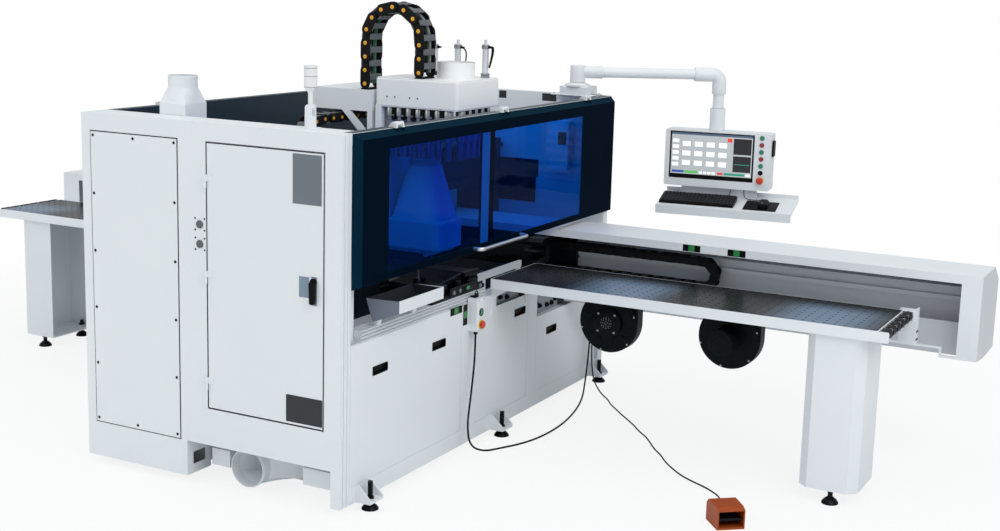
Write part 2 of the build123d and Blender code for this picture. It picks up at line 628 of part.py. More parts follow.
# Drilling head: back plate, shelf, gear block with spindle noses, motor and air cylinders
head_mid = (head_near + head_far) / 2
drill = block(back_x, back_x + 20.0, head_near + 47.0, head_far - 47.0, table_top + 122.0,
              cover_low + 9.0)
for y in upright_ys:
    for z0 in (bridge_low, arm_low - 230.0):
        drill += runner_z(saddle_x1, y, z0, z0 + 120.0)
shelf = block(back_x + 19.0, cover_x1 - 2.0, head_near - 1.0, head_far - 1.0, cover_low - 8.0, cover_low)
gear_x1 = 420.0
gear_low = table_top + 82.0
gear_high = gear_low + 160.0
gear_block = block(back_x + 19.0, gear_x1, head_mid - 105.0, head_mid + 105.0, gear_low, gear_high)
gear_block = chamfer(gear_block.faces().sort_by(Axis.X)[-1].edges(), 18.0)
drill += shelf + gear_block
upper_bit_x = 330.0
lower_bit_x = 250.0
nose_r = 13.0
for x, y in ((upper_bit_x, head_mid - 64.0), (upper_bit_x, head_mid - 32.0),
             (upper_bit_x, head_mid + 32.0),
             (upper_bit_x, head_mid + 64.0), (upper_bit_x - 32.0, head_mid),
             (upper_bit_x - 64.0, head_mid)):
    drill += rod_z(x, y, nose_r, gear_low - 22.0, gear_low + 1.0)
drill += rod_z(280.0, head_mid, 72.0, gear_high - 1.0, gear_high + 260.0)
drill += rod_z(280.0, head_mid, 55.0, gear_high + 259.0, gear_high + 300.0)
spindle_r = 10.0
drill -= rod_z(upper_bit_x, head_mid, spindle_r + pin_gap, gear_low - 1.0, gear_low + 60.0)
cylinders = []
cylinder_y = head_far - 73.0
cylinder_xs = (238.0, 381.0, 550.0)
for x, rise in zip(cylinder_xs, (188.0, 194.0, 199.0)):
    tube = rod_z(x, cylinder_y, 17.0, cover_high, cover_high + rise - 22.0)
    cylinders.append(tube + rod_z(x, cylinder_y, 8.0, cover_high + rise - 23.0, cover_high + rise))
keep("drill_head", drill, *cylinders)

# Head cover: rounded sheet hood on the shelf, with the dust spigot on top
cover = block(back_x - sheet, cover_x1, head_near - 3.0, head_far + 2.0, cover_low, cover_high)
cover = fillet(cover.edges().filter_by(Axis.Z), 22.0)
cover = fillet(cover.faces().sort_by(Axis.Z)[-1].edges(), 12.0)
inner = block(back_x, cover_x1 - sheet, head_near, head_far - 1.0, cover_low - 1.0, cover_high - sheet)
cover -= fillet(inner.edges().filter_by(Axis.Z), 19.0)
spigot_x = 450.0
spigot_y = 62.0
spigot_r = 100.0
spigot_top = cover_high + 85.0
cover += rod_z(spigot_x, spigot_y, spigot_r, cover_high - 2.0, spigot_top)
cover -= rod_z(spigot_x, spigot_y, spigot_r - sheet, cover_high - 20.0, spigot_top + 1.0)
keep("head_cover", cover)


def bit(x, y, z_nose, z_tip, depth):
    """Drill bit in its collet: spindle stub, collet, shank and a tapered point, along Z."""
    s = 1.0 if z_tip < z_nose else -1.0
    stub_form = [(0.0, z_nose + s * depth), (spindle_r, z_nose + s * depth),
                 (spindle_r, z_nose - s * 1.0),
                 (nose_r, z_nose - s * 1.0), (nose_r - 2.0, z_nose - s * 22.0), (4.0, z_nose - s * 22.0),
                 (4.0, z_tip + s * 6.0), (0.0, z_tip)]
    face = Plane.XZ * make_face(Polyline(*stub_form, close=True))
    return Pos(x, y, 0) * revolve(face, Axis.Z)


upper_tip = table_top + 28.0
keep("upper_bit", bit(upper_bit_x, head_mid, gear_low, upper_tip, 55.0))

# Lower saddle and head: the same drive below the panel, drilling upwards
low_plate_low = lower_low - 20.0
low_plate_high = lower_high + 40.0
low_saddle = block(saddle_x0, saddle_x1, head_near + 47.0, head_far - 47.0, low_plate_low, low_plate_high)
for z in (lower_low + 45.0, lower_high - 45.0):
    for y0 in (head_near + 60.0, head_far - 160.0):
        low_saddle += runner_x(bridge_x1, y0, y0 + 100.0, z)
for y in upright_ys:
    low_saddle += block(saddle_x1 - 1.0, saddle_x1 + z_rail_height, y - z_rail_width / 2,
                        y + z_rail_width / 2, low_plate_low, low_plate_high)
keep("lower_saddle", low_saddle)
low_gear_high = table_top - 98.0
low_gear_low = low_gear_high - 140.0
low_head = block(back_x, back_x + 20.0, head_near + 47.0, head_far - 47.0, low_plate_low + 90.0,
                 low_gear_high - 20.0)
for y in upright_ys:
    low_head += runner_z(saddle_x1, y, low_plate_low + 100.0, low_plate_low + 180.0)
low_block = block(back_x + 19.0, 400.0, head_mid - 105.0, head_mid + 105.0, low_gear_low, low_gear_high)
low_head += chamfer(low_block.faces().sort_by(Axis.X)[-1].edges(), 18.0)
for x, y in ((lower_bit_x, head_mid - 32.0), (lower_bit_x, head_mid + 32.0),
             (lower_bit_x + 32.0, head_mid)):
    low_head += rod_z(x, y, nose_r, low_gear_high - 1.0, low_gear_high + 22.0)
low_head += rod_z(lower_bit_x, head_mid, 66.0, low_gear_low - 240.0, low_gear_low + 1.0)
low_head -= rod_z(lower_bit_x, head_mid, spindle_r + pin_gap, low_gear_high - 60.0, low_gear_high + 1.0)
keep("lower_head", low_head)
lower_tip = table_top - 10.0
keep("lower_bit", bit(lower_bit_x, head_mid, low_gear_high, lower_tip, 55.0))

# Energy chains: links whose round-ended side plates lie inside one another, joined by cross bars
link_gap = 0.3


def links(plane, pivots, start, width, height, plate, square=False):
    """Chain links between pivots (u, v) in a plane, from start along its normal."""
    made = []
    for i in range(len(pivots) - 1):
        u0, v0 = pivots[i]
        u1, v1 = pivots[i + 1]
        length = math.hypot(u1 - u0, v1 - v0)
        turn = math.degrees(math.atan2(v1 - v0, u1 - u0))
        inset = (i % 2) * (plate + link_gap)
        at = plane * Pos((u0 + u1) / 2, (v0 + v1) / 2, 0) * Rot(0, 0, turn)
        a = length / 2 + height * 0.42
        c = height * 0.24
        h = height / 2
        eight = [(-a, -h + c), (-a + c, -h), (a - c, -h), (a, -h + c), (a, h - c), (a - c, h),
                 (-a + c, h), (-a, h - c)]
        side = make_face(Polyline(*eight, close=True)) if square else SlotCenterToCenter(length, height)
        link = extrude(at * Pos(0, 0, start + inset) * side, amount=plate)
        link += extrude(at * Pos(0, 0, start + width - inset - plate) * side, amount=plate)
        for v in (-h + 4.0, h - 4.0):
            cross = at * Pos(0, v, start + inset) * Rectangle(10.0, 6.0)
            link += extrude(cross, amount=width - 2 * inset)
        made.append(link)
    return made


def loop_points(radius, count, leads):
    """Pivots, as (across, along), of a chain that runs out by one lead, turns half round and runs back."""
    length0 = leads[0]
    total = length0 + math.pi * radius + leads[1]
    points = []
    for i in range(count + 1):
        s = total * i / count
        if s <= length0:
            points.append((0.0, s))
        elif s <= length0 + math.pi * radius:
            a = (s - length0) / radius
            points.append((radius - radius * math.cos(a), length0 + radius * math.sin(a)))
        else:
            points.append((2 * radius, length0 - (s - length0 - math.pi * radius)))
    return points


# Arch between the saddle's arm and the head cover
arch_x0 = 30.0
arch_x1 = 360.0
arch_y0 = head_near + 7.0
arch_width = 125.0
arch_height = 58.0
arch_top = cover_high + 391.0
arch_r = (arch_x1 - arch_x0) / 2
arch_centre = arch_top - arch_height / 2 - arch_r
arch_start = arm_high + arch_height / 2 + 2.0
arch_stop = cover_high + arch_height / 2 + 2.0
arch = [(arch_x0 + p, arch_start + q)
        for p, q in loop_points(arch_r, 13, (arch_centre - arch_start, arch_centre - arch_stop))]
z_links = links(Plane.XZ, arch, -(arch_y0 + arch_width), arch_width, arch_height, 8.0)
z_links[0] += block(arch_x0 - 24.0, arch_x0 + 24.0, arch_y0, arch_y0 + arch_width, arm_high,
                    arm_high + 6.0)
z_links[-1] += block(arch_x1 - 24.0, arch_x1 + 24.0, arch_y0, arch_y0 + arch_width,
                     cover_high, cover_high + 6.0)
keep("z_chain", *z_links)

# Chain along the bridge, lying on it and folded up to the saddle
y_pivots = [(y_fixed - q, y_low + p)
            for p, q in loop_points(y_r, 12, (y_fixed - y_bend, y_moving - y_bend))]
y_links = links(Plane.YZ, y_pivots, chain_foot_x, 100.0, y_link, 7.0, True)
y_links[0] += block(chain_foot_x, chain_foot_x + 100.0, y_fixed - 20.0, y_fixed + 20.0, bridge_high,
                    y_low - 10.0)
keep("y_chain", *y_links)

# Sill: grooved guide profile and stop bar across the front of the base
sill_x0 = 672.0
sill_x1 = 744.0
sill_top = base_top + 56.0
sill_near = cabinet_back + 2.0
sill_far = infeed_near - 11.0
groove = 8.0
profile = [(sill_x0, base_top), (sill_x1, base_top)]
for z in (base_top + 10.0, base_top + 26.0, base_top + 42.0):
    profile += [(sill_x1, z), (sill_x1 - groove, z), (sill_x1 - groove, z + 7.0), (sill_x1, z + 7.0)]
profile += [(sill_x1, sill_top)]
for x in (sill_x1 - 14.0, sill_x1 - 38.0):
    profile += [(x, sill_top), (x, sill_top - groove), (x - 9.0, sill_top - groove), (x - 9.0, sill_top)]
profile += [(sill_x0, sill_top)]
guide = prism_y(profile, sill_near, sill_far)
bar_x0 = 650.0
bar_x1 = 665.0
stop_bar = block(bar_x0, bar_x1, -840.0, end_post_y + 67.0, table_top - 37.0, table_top)
for y in (-820.0, -400.0, 20.0, end_post_y + 27.0):
    stop_bar += block(bar_x0, bar_x1, y, y + 30.0, base_top, table_top - 36.0)
keep("sill_rail", guide, stop_bar)

# Chute: open sheet trough on the guide profile, leaning out over the front panels
chute_y0 = cabinet_back + 100.0
chute_y1 = chute_y0 + 402.0
chute_out = front_x + 128.0
chute_top = sill_top + 134.0
chute_foot = sill_top + 21.0
chute_form = [(sill_x1 - 42.0, chute_top - 6.0), (sill_x1 - 6.0, chute_foot),
              (chute_out, chute_foot + 55.0), (chute_out, chute_top)]
chute = prism_y(chute_form, chute_y0, chute_y1)
lined = [(sill_x1 - 38.0, chute_top + 1.0), (sill_x1 - 5.0, chute_foot + 4.0),
         (chute_out - sheet, chute_foot + 57.0), (chute_out - sheet, chute_top + 1.0)]
chute -= prism_y(lined, chute_y0 + sheet, chute_y1 - sheet)
for y in (chute_y0 + 30.0, chute_y1 - 60.0):
    chute += prism_y([(sill_x1 - 34.0, sill_top), (sill_x1, sill_top), (sill_x1 + 6.0, chute_foot + 4.0),
                      (sill_x1 - 8.0, chute_foot + 2.0), (sill_x1 - 20.0, chute_foot + 42.0)], y,
                      y + 30.0)
keep("chute_tray", chute)

# Side stop: slider on the guide profile with a fence and two clamping knobs
stop_y1 = sill_far - 15.0
stop_y0 = stop_y1 - 530.0
slider = block(sill_x0 + 2.0, sill_x1, stop_y0, stop_y1, sill_top + slide_gap, sill_top + 20.0)
fence = [(stop_y0 + 10.0, sill_top + 19.0), (stop_y1, sill_top + 19.0), (stop_y1, sill_top + 92.0),
         (stop_y1 - 60.0, sill_top + 104.0), (stop_y0 + 90.0, sill_top + 70.0),
         (stop_y0 + 10.0, sill_top + 40.0)]
slider += prism_x(fence, sill_x0 + 20.0, sill_x0 + 30.0)
slider += block(sill_x0 + 29.0, sill_x1 - 6.0, stop_y1 - 170.0, stop_y1 - 60.0, sill_top + 19.0,
                sill_top + 66.0)
for y in (stop_y0 + 150.0, stop_y0 + 290.0):
    slider += rod_z((sill_x0 + sill_x1) / 2 + 12.0, y, 7.0, sill_top + 19.0, sill_top + 50.0)
    slider += rod_z((sill_x0 + sill_x1) / 2 + 12.0, y, 17.0, sill_top + 49.0, sill_top + 72.0)
slider += rod_y((sill_x0 + sill_x1) / 2 + 14.0, sill_top + 92.0, 14.0, stop_y1 - 190.0, stop_y1 - 40.0)
slider += block(sill_x0 + 29.0, sill_x1 - 20.0, stop_y1 - 130.0, stop_y1 - 100.0, sill_top + 60.0,
                sill_top + 92.0)
keep("side_stop", slider)


def table(x0, x1, y0, y1, wall_x, leg0, leg1):
    """Table frame with folded aprons, cross rails and two brackets to the base, and its flat deck."""
    low = table_top - apron
    frame = block(x0, x1, y0, y1, low, table_top)
    frame -= block(x0 + sheet, x1 - sheet, y0 + sheet, y1 - sheet, low - 1.0, table_top + 1.0)
    frame += block(x0, x1, y0, y0 + 30.0, low, low + sheet)
    frame += block(x0, x1, y1 - 30.0, y1, low, low + sheet)
    for x in (leg0, leg1 - 40.0, (leg0 + wall_x) / 2 - 20.0):
        frame += block(x, x + 40.0, y0 + 1.0, y1 - 1.0, low, table_top - deck)
    b0, b1 = sorted((wall_x, x0 if abs(x0 - wall_x) < abs(x1 - wall_x) else x1))
    near_end = b0 if wall_x == b1 else b1
    out = 1.0 if near_end > wall_x else -1.0
    for y in (y0 + 45.0, y1 - 85.0):
        bracket = [(wall_x, base_top - 110.0), (wall_x + out * 10.0, base_top - 110.0),
                   (wall_x + out * 10.0, low - 60.0), (near_end + out * 90.0, low),
                   (near_end + out * 90.0, low + 4.0),
                   (near_end, low + 4.0), (near_end, table_top - 12.0), (wall_x, low + 4.0)]
        frame += prism_y(bracket, y, y + 40.0)
    top = block(x0 + sheet + seat, x1 - sheet - seat, y0 + sheet + seat, y1 - sheet - seat,
                table_top - deck, table_top)
    return frame, top


infeed_x0 = front_x + infeed_gap
infeed_x1 = infeed_x0 + infeed_length
infeed_far = infeed_near + infeed_width
out_x1 = rear_x - outfeed_gap
out_x0 = out_x1 - outfeed_length
outfeed_far = outfeed_near + outfeed_width
roller_z = table_top + roller_rise - roller_r
roller_count = 6


def roller_end(x_end, out, y0, width):
    """Side plates and axle at a table's outer end, which faces out along X, and the rollers on the axle."""
    x = x_end - out * (roller_r + 3.0)
    p0, p1 = sorted((x_end - out * (roller_bay + 1.0), x_end - out * 2.0))
    q0, q1 = sorted((x_end - out * (roller_bay + 60.0), x_end - out * roller_bay))
    holder = rod_y(x, roller_z, roller_axle_r, y0 + 1.0, y0 + width - 1.0)
    for y in (y0, y0 + width - 6.0):
        plate = block(p0, p1, y, y + 6.0, table_top - apron, table_top - 2.0)
        corners = plate.edges().filter_by(Axis.Y).sort_by(Axis.X)
        holder += fillet(corners[-2:] if out > 0 else corners[:2], 8.0)
        holder += block(q0, q1, y, y + 6.0, table_top - apron, table_top - deck - 6.0)
    pitch = (width - 24.0) / roller_count
    wheels = []
    for i in range(roller_count):
        w0 = y0 + 18.0 + i * pitch
        wheel = chamfer(rod_y(x, roller_z, roller_r, w0,
                              w0 + pitch - 12.0).edges().filter_by(GeomType.CIRCLE), 5.0)
        wheels.append(wheel - rod_y(x, roller_z, roller_axle_r + pin_gap, w0 - 1.0, w0 + pitch))
    return holder, wheels


in_frame, in_deck = table(infeed_x0, infeed_x1 - roller_bay, infeed_near, infeed_far, front_x,
                          infeed_leg_x0, infeed_leg_x1)
out_frame, out_deck = table(out_x0 + roller_bay, out_x1, outfeed_near, outfeed_far, rear_x,
                            outfeed_leg_x0, outfeed_leg_x1)
in_holder, in_rollers = roller_end(infeed_x1, 1.0, infeed_near, infeed_width)
out_holder, out_rollers = roller_end(out_x0, -1.0, outfeed_near, outfeed_width)
angle_low = table_top - 163.0
angle_high = table_top + 12.0
in_frame += in_holder + block(infeed_x1 - 70.0, infeed_x1 + 12.0, infeed_far - 1.0, infeed_far + 6.0,
                              angle_low, angle_high)
in_frame += block(infeed_x1 + 6.0, infeed_x1 + 12.0, infeed_far - 1.0, infeed_far + 50.0, angle_low,
                  angle_high)
keep("table_frames", in_frame, out_frame + out_holder)
keep("table_decks", in_deck, out_deck)
keep("end_rollers", *in_rollers)
keep("outfeed_rollers", *out_rollers)

# Legs: chamfered sheet pedestal in front, open channel behind
leg_top = table_top - apron
ch = 45.0
pedestal = [(infeed_leg_x0 + ch, infeed_leg_y0), (infeed_leg_x1 - ch, infeed_leg_y0),
            (infeed_leg_x1, infeed_leg_y0 + ch * 0.9), (infeed_leg_x1, infeed_leg_y1),
            (infeed_leg_x0, infeed_leg_y1), (infeed_leg_x0, infeed_leg_y0 + ch * 0.9)]
leg = prism_z(pedestal, leg_low, leg_top)
hollow = offset(make_face(Polyline(*pedestal, close=True)), amount=-4.0)
leg -= extrude(Plane.XY.offset(leg_low + leg_plate) * hollow, amount=leg_top - leg_low)
channel = block(outfeed_leg_x0, outfeed_leg_x1, outfeed_leg_y0, outfeed_leg_y1, leg_low, leg_top)
channel -= block(outfeed_leg_x0 + 5.0, outfeed_leg_x1 + 1.0, outfeed_leg_y0 + 5.0, outfeed_leg_y1 - 5.0,
                 leg_low + leg_plate, leg_top + 1.0)
for x, y in table_foot_places:
    hole = rod_z(x, y, bolt_r + seat, leg_low - 1.0, leg_low + leg_plate + 1.0)
    if x > 0:
        leg -= hole
    else:
        channel -= hole
keep("table_legs", leg, channel)

# Blowers under the infeed table: one shows its inlet, the other its motor
blower_r = 160.0
blower_z = table_top - 178.0


def blower(x, y0, motor_side):
    """Fan housing with its inlet ring, motor and an outlet up to the deck."""
    drum = fillet(rod_y(x, blower_z, blower_r, y0, y0 + 90.0).edges(), 14.0)
    out = drum + block(x + 55.0, x + blower_r, y0 + 12.0, y0 + 78.0, blower_z, table_top - deck - seat)
    out += block(x + 45.0, x + blower_r + 10.0, y0 + 2.0, y0 + 88.0, table_top - deck - 8.0,
                 table_top - deck - seat)
    motor_y0, motor_y1 = (y0 - 130.0, y0 + 1.0) if motor_side < 0 else (y0 + 89.0, y0 + 220.0)
    out += rod_y(x, blower_z, 62.0, motor_y0, motor_y1)
    inlet_y0, inlet_y1 = (y0 + 89.0, y0 + 110.0) if motor_side < 0 else (y0 - 16.0, y0 + 1.0)
    out += rod_y(x, blower_z, 78.0, inlet_y0, inlet_y1)
    cut0, cut1 = (y0 + 95.0, y0 + 111.0) if motor_side < 0 else (y0 - 17.0, y0 - 4.0)
    return out - rod_y(x, blower_z, 66.0, cut0, cut1)


keep("blower_housings", blower(infeed_x0 + infeed_length * 0.295, infeed_near + 144.0, 1),
     blower(infeed_x0 + infeed_length * 0.602, infeed_near + 184.0, -1))

# Clamp beam: folded cover open towards the tables, closed ends, hollow spine and two rails along X
skin = beam_sheet
outer_form = [(beam_lip_y, beam_high - lip_height), (beam_lip_y, beam_high), (beam_fold_y, beam_high),
              (beam_back_y, beam_high - 85.0), (beam_back_y, beam_low)]
inner_form = [(beam_back_y - skin, beam_low), (beam_back_y - skin, beam_high - 85.0 - skin * 0.6),
              (beam_fold_y - skin * 0.4, beam_high - skin), (beam_lip_y + skin, beam_high - skin),
              (beam_lip_y + skin, beam_high - lip_height)]
cover_beam = prism_x(outer_form + inner_form, beam_start, beam_end)
end_strip = 100.0
strip_low = beam_low + 20.0
for x0, x1, edge in ((beam_start, beam_start + end_strip + 38.0, beam_start),
                     (beam_end - end_strip, beam_end, beam_end - skin)):
    cover_beam += block(x0, x1, beam_lip_y, beam_lip_y + skin, strip_low, beam_high - lip_height + 1.0)
    end_form = [(beam_lip_y, strip_low), (beam_lip_y, beam_high), (beam_fold_y, beam_high),
                (beam_back_y, beam_high - 85.0), (beam_back_y, beam_low), (beam_lip_y + 200.0, beam_low)]
    cover_beam += prism_x(end_form, edge, edge + skin)
spine_y0 = beam_lip_y + 260.0
# Bent bar from the end strip back to the chain's trough
strut = 12.0
step_x = beam_end - 185.0
strut_x = step_x - 268.0
step_z = strip_low + 43.0
trough_y = beam_lip_y + 130.0
cover_beam += block(step_x, beam_end - end_strip + 1.0, beam_lip_y, beam_lip_y + strut, strip_low,
                    strip_low + strut)
cover_beam += block(step_x, step_x + strut, beam_lip_y, beam_lip_y + strut, strip_low, step_z + strut)
cover_beam += block(strut_x, step_x + strut, beam_lip_y, beam_lip_y + strut, step_z, step_z + strut)
cover_beam += block(strut_x, strut_x + strut, beam_lip_y, trough_y - seat, step_z, step_z + strut)
spine_y1 = beam_back_y - skin - seat
spine_high = beam_high - 110.0
wall = 8.0
spine = block(beam_start + skin, beam_end - skin, spine_y0, spine_y1, beam_low, spine_high)
spine -= block(beam_start + skin - 1.0, beam_end + 1.0, spine_y0 + wall, spine_y1 - wall,
               beam_low + wall, spine_high - wall)
clamp_zs = (beam_low + 90.0, spine_high - 60.0)
clamp_rails = [
    block(beam_start + 60.0, beam_end - 60.0, spine_y0 - rail_height, spine_y0, z - rail_width / 2,
          z + rail_width / 2)
    for z in clamp_zs
]
for x in (beam_start + 105.0, -1500.0, -720.0, 690.0, 1500.0, beam_end - 193.0):
    spine += block(x, x + 40.0, spine_y0 + 60.0, spine_y0 + 200.0, spine_high - 1.0, spine_high + 24.0)
    spine += block(x, x + 40.0, spine_y0 + 30.0, spine_y0 + 80.0, spine_high + 20.0, beam_high - skin)
x_r = 70.0
x_link = 46.0
x_y0 = trough_y + 10.0
x_width = 62.0
x_high = spine_high - 10.0
tray_top = x_high - 2 * x_r - x_link / 2 - 4 * seat
trough_low = beam_low + 10.0
trough_form = [
    (spine_y0 - seat, trough_low), (trough_y, trough_low), (trough_y, tray_top + 16.0),
    (trough_y + skin, tray_top + 16.0), (trough_y + skin, tray_top), (x_y0 + x_width + 2.0, tray_top),
    (x_y0 + x_width + 2.0, tray_top - skin), (trough_y + skin, tray_top - skin),
    (trough_y + skin, trough_low + skin), (spine_y0 - seat, trough_low + skin),
]
trough = prism_x(trough_form, beam_start + skin + seat, beam_end - skin - seat)
keep("beam_cover", cover_beam)
keep("clamp_spine", spine, trough, *clamp_rails)

# Clamp carriages: plate on the rails, arm out under the lip with the fixed jaw, and a pressing jaw above
clamp_xs = {"1": 680.0, "2": -900.0}
carriage_half = 110.0
jaw_low = table_top - 22.0
jaw_gap = 30.0
jaw_y0 = outfeed_near + outfeed_width + 15.0
reach_low = spine_high + 18.0
reach_high = beam_high - lip_height - 6.0
post_half = 14.0 + slide_gap
for name, x in clamp_xs.items():
    y_rail = spine_y0 - rail_height
    carriage = block(x - carriage_half, x + carriage_half, y_rail - 26.0, y_rail - 4.0,
                     clamp_zs[0] - 40.0, clamp_zs[1] + 40.0)
    for z in clamp_zs:
        half = rail_width / 2 + slide_gap
        for x0 in (x - carriage_half, x + 20.0):
            runner = block(x0, x0 + 90.0, y_rail - 5.0, spine_y0 - 3.0, z - 30.0, z + 30.0)
            carriage += runner - block(x0 - 1.0, x0 + 91.0, y_rail - slide_gap, spine_y0, z - half,
                                       z + half)
    reach = block(x - 45.0, x + 45.0, jaw_y0 + 65.0, y_rail - 25.0, reach_low, reach_high)
    reach = chamfer(reach.faces().sort_by(Axis.Y)[0].edges().sort_by(Axis.Z)[-1:], 20.0)
    carriage += reach + block(x - 45.0, x + 45.0, y_rail - 27.0, y_rail - 4.0, clamp_zs[1], reach_high)
    grip_form = [(jaw_y0, jaw_low - 24.0), (jaw_y0 + 120.0, jaw_low - 30.0), (jaw_y0 + 165.0, jaw_low),
                 (jaw_y0 + 165.0, reach_low + 1.0), (jaw_y0 + 115.0, reach_low + 1.0),
                 (jaw_y0 + 115.0, table_top - 2.0), (jaw_y0, table_top - 2.0)]
    carriage += prism_x(grip_form, x - 45.0, x + 45.0)
    carriage -= block(x - post_half, x + post_half, jaw_y0 + 100.0, jaw_y0 + 130.0 + slide_gap,
                      table_top + 4.0, reach_low + 2.0)
    if name == "1":
        chain_end = x_high + x_link / 2 + seat
        carriage += block(x - 100.0, x - 44.0, x_y0 + 6.0, y_rail - 4.0, chain_end, chain_end + 10.0)
        carriage += block(x - 100.0, x - 44.0, y_rail - 27.0, y_rail - 4.0, clamp_zs[1], chain_end + 10.0)
    keep("clamp_carriage_" + name, carriage)
    jaw = block(x - 40.0, x + 40.0, jaw_y0 + 5.0, jaw_y0 + 105.0, table_top + jaw_gap,
                table_top + jaw_gap + 18.0)
    jaw = chamfer(jaw.faces().sort_by(Axis.Y)[0].edges().sort_by(Axis.Z)[-1:], 10.0)
    jaw += block(x - 14.0, x + 14.0, jaw_y0 + 90.0, jaw_y0 + 130.0, table_top + jaw_gap,
                 table_top + jaw_gap + 24.0)
    keep("clamp_jaw_" + name, jaw)

# Chain of the first clamp carriage, folded inside the beam
x_bend = clamp_xs["1"] + 910.0
x_pivots = [(x_bend - 1000.0 + q, x_high - p)
            for p, q in loop_points(x_r, 40, (1000.0, 1000.0 + 340.0))]
x_links = links(Plane.XZ, x_pivots, -(x_y0 + x_width), x_width, x_link, 6.0, True)
keep("x_chain", *x_links)

# Pendant: base on the far front corner, swinging arm with a drop tube, and the control case
px, py = arm_pivot
pivot_pin_r = 20.0
stand = block(px - 147.0, px + 113.0, py - 64.0, far_y - 4.0, top_z + seat, top_z + 70.0)
stand = fillet(stand.edges().filter_by(Axis.Z), 12.0)
stand += block(px - 147.0, px + 113.0, far_inner - 40.0, far_inner - seat, top_z - 34.0, top_z + 10.0)
stand += rod_z(px, py, 46.0, top_z + 69.0, top_z + 78.0)
stand += rod_z(px, py, pivot_pin_r, top_z + 77.0, arm_z - 34.0)
keep("pendant_base", stand)
drop_x = px + arm_length * math.cos(math.radians(arm_angle))
drop_y = py + arm_length * math.sin(math.radians(arm_angle))
along = Pos(px, py, arm_z) * Rot(0, 0, arm_angle)
elbow = 46.0
hub_low = top_z + 79.0
drop_low = case_high + 135.0
swing = along * Pos(arm_length / 2, 0, 0) * Rot(0, 90, 0) * Cylinder(tube_r, arm_length)
for x0 in (0.0, arm_length):
    knuckle = along * Pos(x0, 0, 0) * Box(2 * elbow - 6.0, 2 * elbow - 14.0, 2 * elbow - 10.0)
    swing += fillet(knuckle.edges(), 14.0)
swing += rod_z(px, py, 40.0, hub_low, arm_z)
swing -= rod_z(px, py, pivot_pin_r + pin_gap, hub_low - 1.0, arm_z - 33.0)
swing += rod_z(drop_x, drop_y, tube_r + 2.0, drop_low, arm_z)
swing += rod_z(drop_x, drop_y, pivot_pin_r, drop_low - 60.0, drop_low + 1.0)
keep("pendant_arm", swing)

panel_at = Pos(drop_x, drop_y, 0) * Rot(0, 0, case_turn)
case_x0 = -298.0
case_x1 = 345.0
case_half = 70.0
screen_x0 = -268.0
screen_x1 = 246.0
screen_z0 = case_low + 48.0
screen_z1 = case_high - 10.0
case = block(case_x0, case_x1, -case_half, case_half, case_low, case_high)
case = fillet(case.edges().filter_by(Axis.Y), 10.0)
case -= block(case_x0 + 6.0, case_x1 - 6.0, -case_half + 24.0, case_half - 6.0, case_low + 8.0,
              case_high - 8.0)
case -= block(screen_x0, screen_x1, -case_half - 1.0, -case_half + 8.0, screen_z0, screen_z1)
case += rod_z(0.0, 0.0, 46.0, case_high - 1.0, drop_low - 1.0)
case -= rod_z(0.0, 0.0, pivot_pin_r + pin_gap, drop_low - 64.0, drop_low)
button_x = 290.0
button_r = 11.0
button_pitch = 42.0
button_zs = tuple(case_high - 25.0 - i * button_pitch for i in range(5))
key_z = case_high - 234.0
stop_z = case_high - 280.0
button_depth = 16.0
for z in button_zs + (key_z, stop_z):
    case -= rod_y(button_x, z, button_r + pin_gap, -case_half - 1.0, -case_half + button_depth)
neck_x0 = -195.0
neck_x1 = 264.0
tray_back = 50.0
tray_z = case_low - 47.0
tray_tilt = 11.0
tray_x0 = -300.0
tray_x1 = 510.0
tray_deep = 305.0
tray_lip = 48.0
tray_at = Pos(0, tray_back, tray_z) * Rot(tray_tilt, 0, 0)
tray = block(tray_x0, tray_x1, -tray_deep, 0.0, -14.0, 0.0)
tray += block(tray_x0, tray_x1, -tray_deep, -tray_deep + 12.0, -tray_lip, 6.0)
tray += block(tray_x0, tray_x1, -8.0, 0.0, -14.0, 22.0)
case += block(neck_x0, neck_x1, -22.0, 22.0, tray_z - 30.0, case_low + 1.0)
case += tray_at * tray
keep("control_case", panel_at * case)
keep("control_screen", panel_at * block(screen_x0 + seat, screen_x1 - seat, -case_half - 1.5,
                                        -case_half + 8.0, screen_z0 + seat, screen_z1 - seat))
press = 4.0
for i, z in enumerate(button_zs):
    knob = rod_y(button_x, z, button_r, -case_half - 7.0, -case_half + button_depth - press - 2.0)
    keep(f"push_button_{i + 1}", panel_at * knob)
key = rod_y(button_x, key_z, button_r, -case_half - 5.0, -case_half + button_depth - 2.0)
key += rod_y(button_x, key_z, 13.0, -case_half - 5.0, -case_half - 1.0)
key += block(button_x - 2.5, button_x + 2.5, -case_half - 18.0, -case_half - 4.0, key_z - 10.0,
             key_z + 10.0)
keep("key_switch", panel_at * key)
stop_form = [(0.0, 0.0), (button_r, 0.0), (button_r, 19.0), (15.0, 19.0), (20.0, 24.0), (20.0, 32.0),
             (14.0, 38.0), (0.0, 39.0)]
mushroom = revolve(Plane.XZ * make_face(Polyline(*stop_form, close=True)), Axis.Z)
keep("emergency_stop", panel_at * Pos(button_x, -case_half + button_depth - press - 2.0, stop_z)
     * Rot(90, 0, 0) * mushroom)
key_x0 = -290.0
key_x1 = 160.0
board_form = [(-255.0, 0.0), (-108.0, 0.0), (-108.0, 26.0), (-128.0, 27.0), (-250.0, 17.0),
              (-255.0, 13.0)]
board = prism_x(board_form, key_x0, key_x1)
mouse_x = 330.0
mouse_y = -190.0
mouse = Pos(mouse_x, mouse_y, 17.0) * Box(60.0, 104.0, 34.0)
mouse = fillet(mouse.edges().filter_by(Axis.Z), 24.0)
mouse = fillet(mouse.faces().sort_by(Axis.Z)[-1].edges(), 12.0)
keep("keyboard_and_mouse", panel_at * tray_at * board, panel_at * tray_at * mouse)


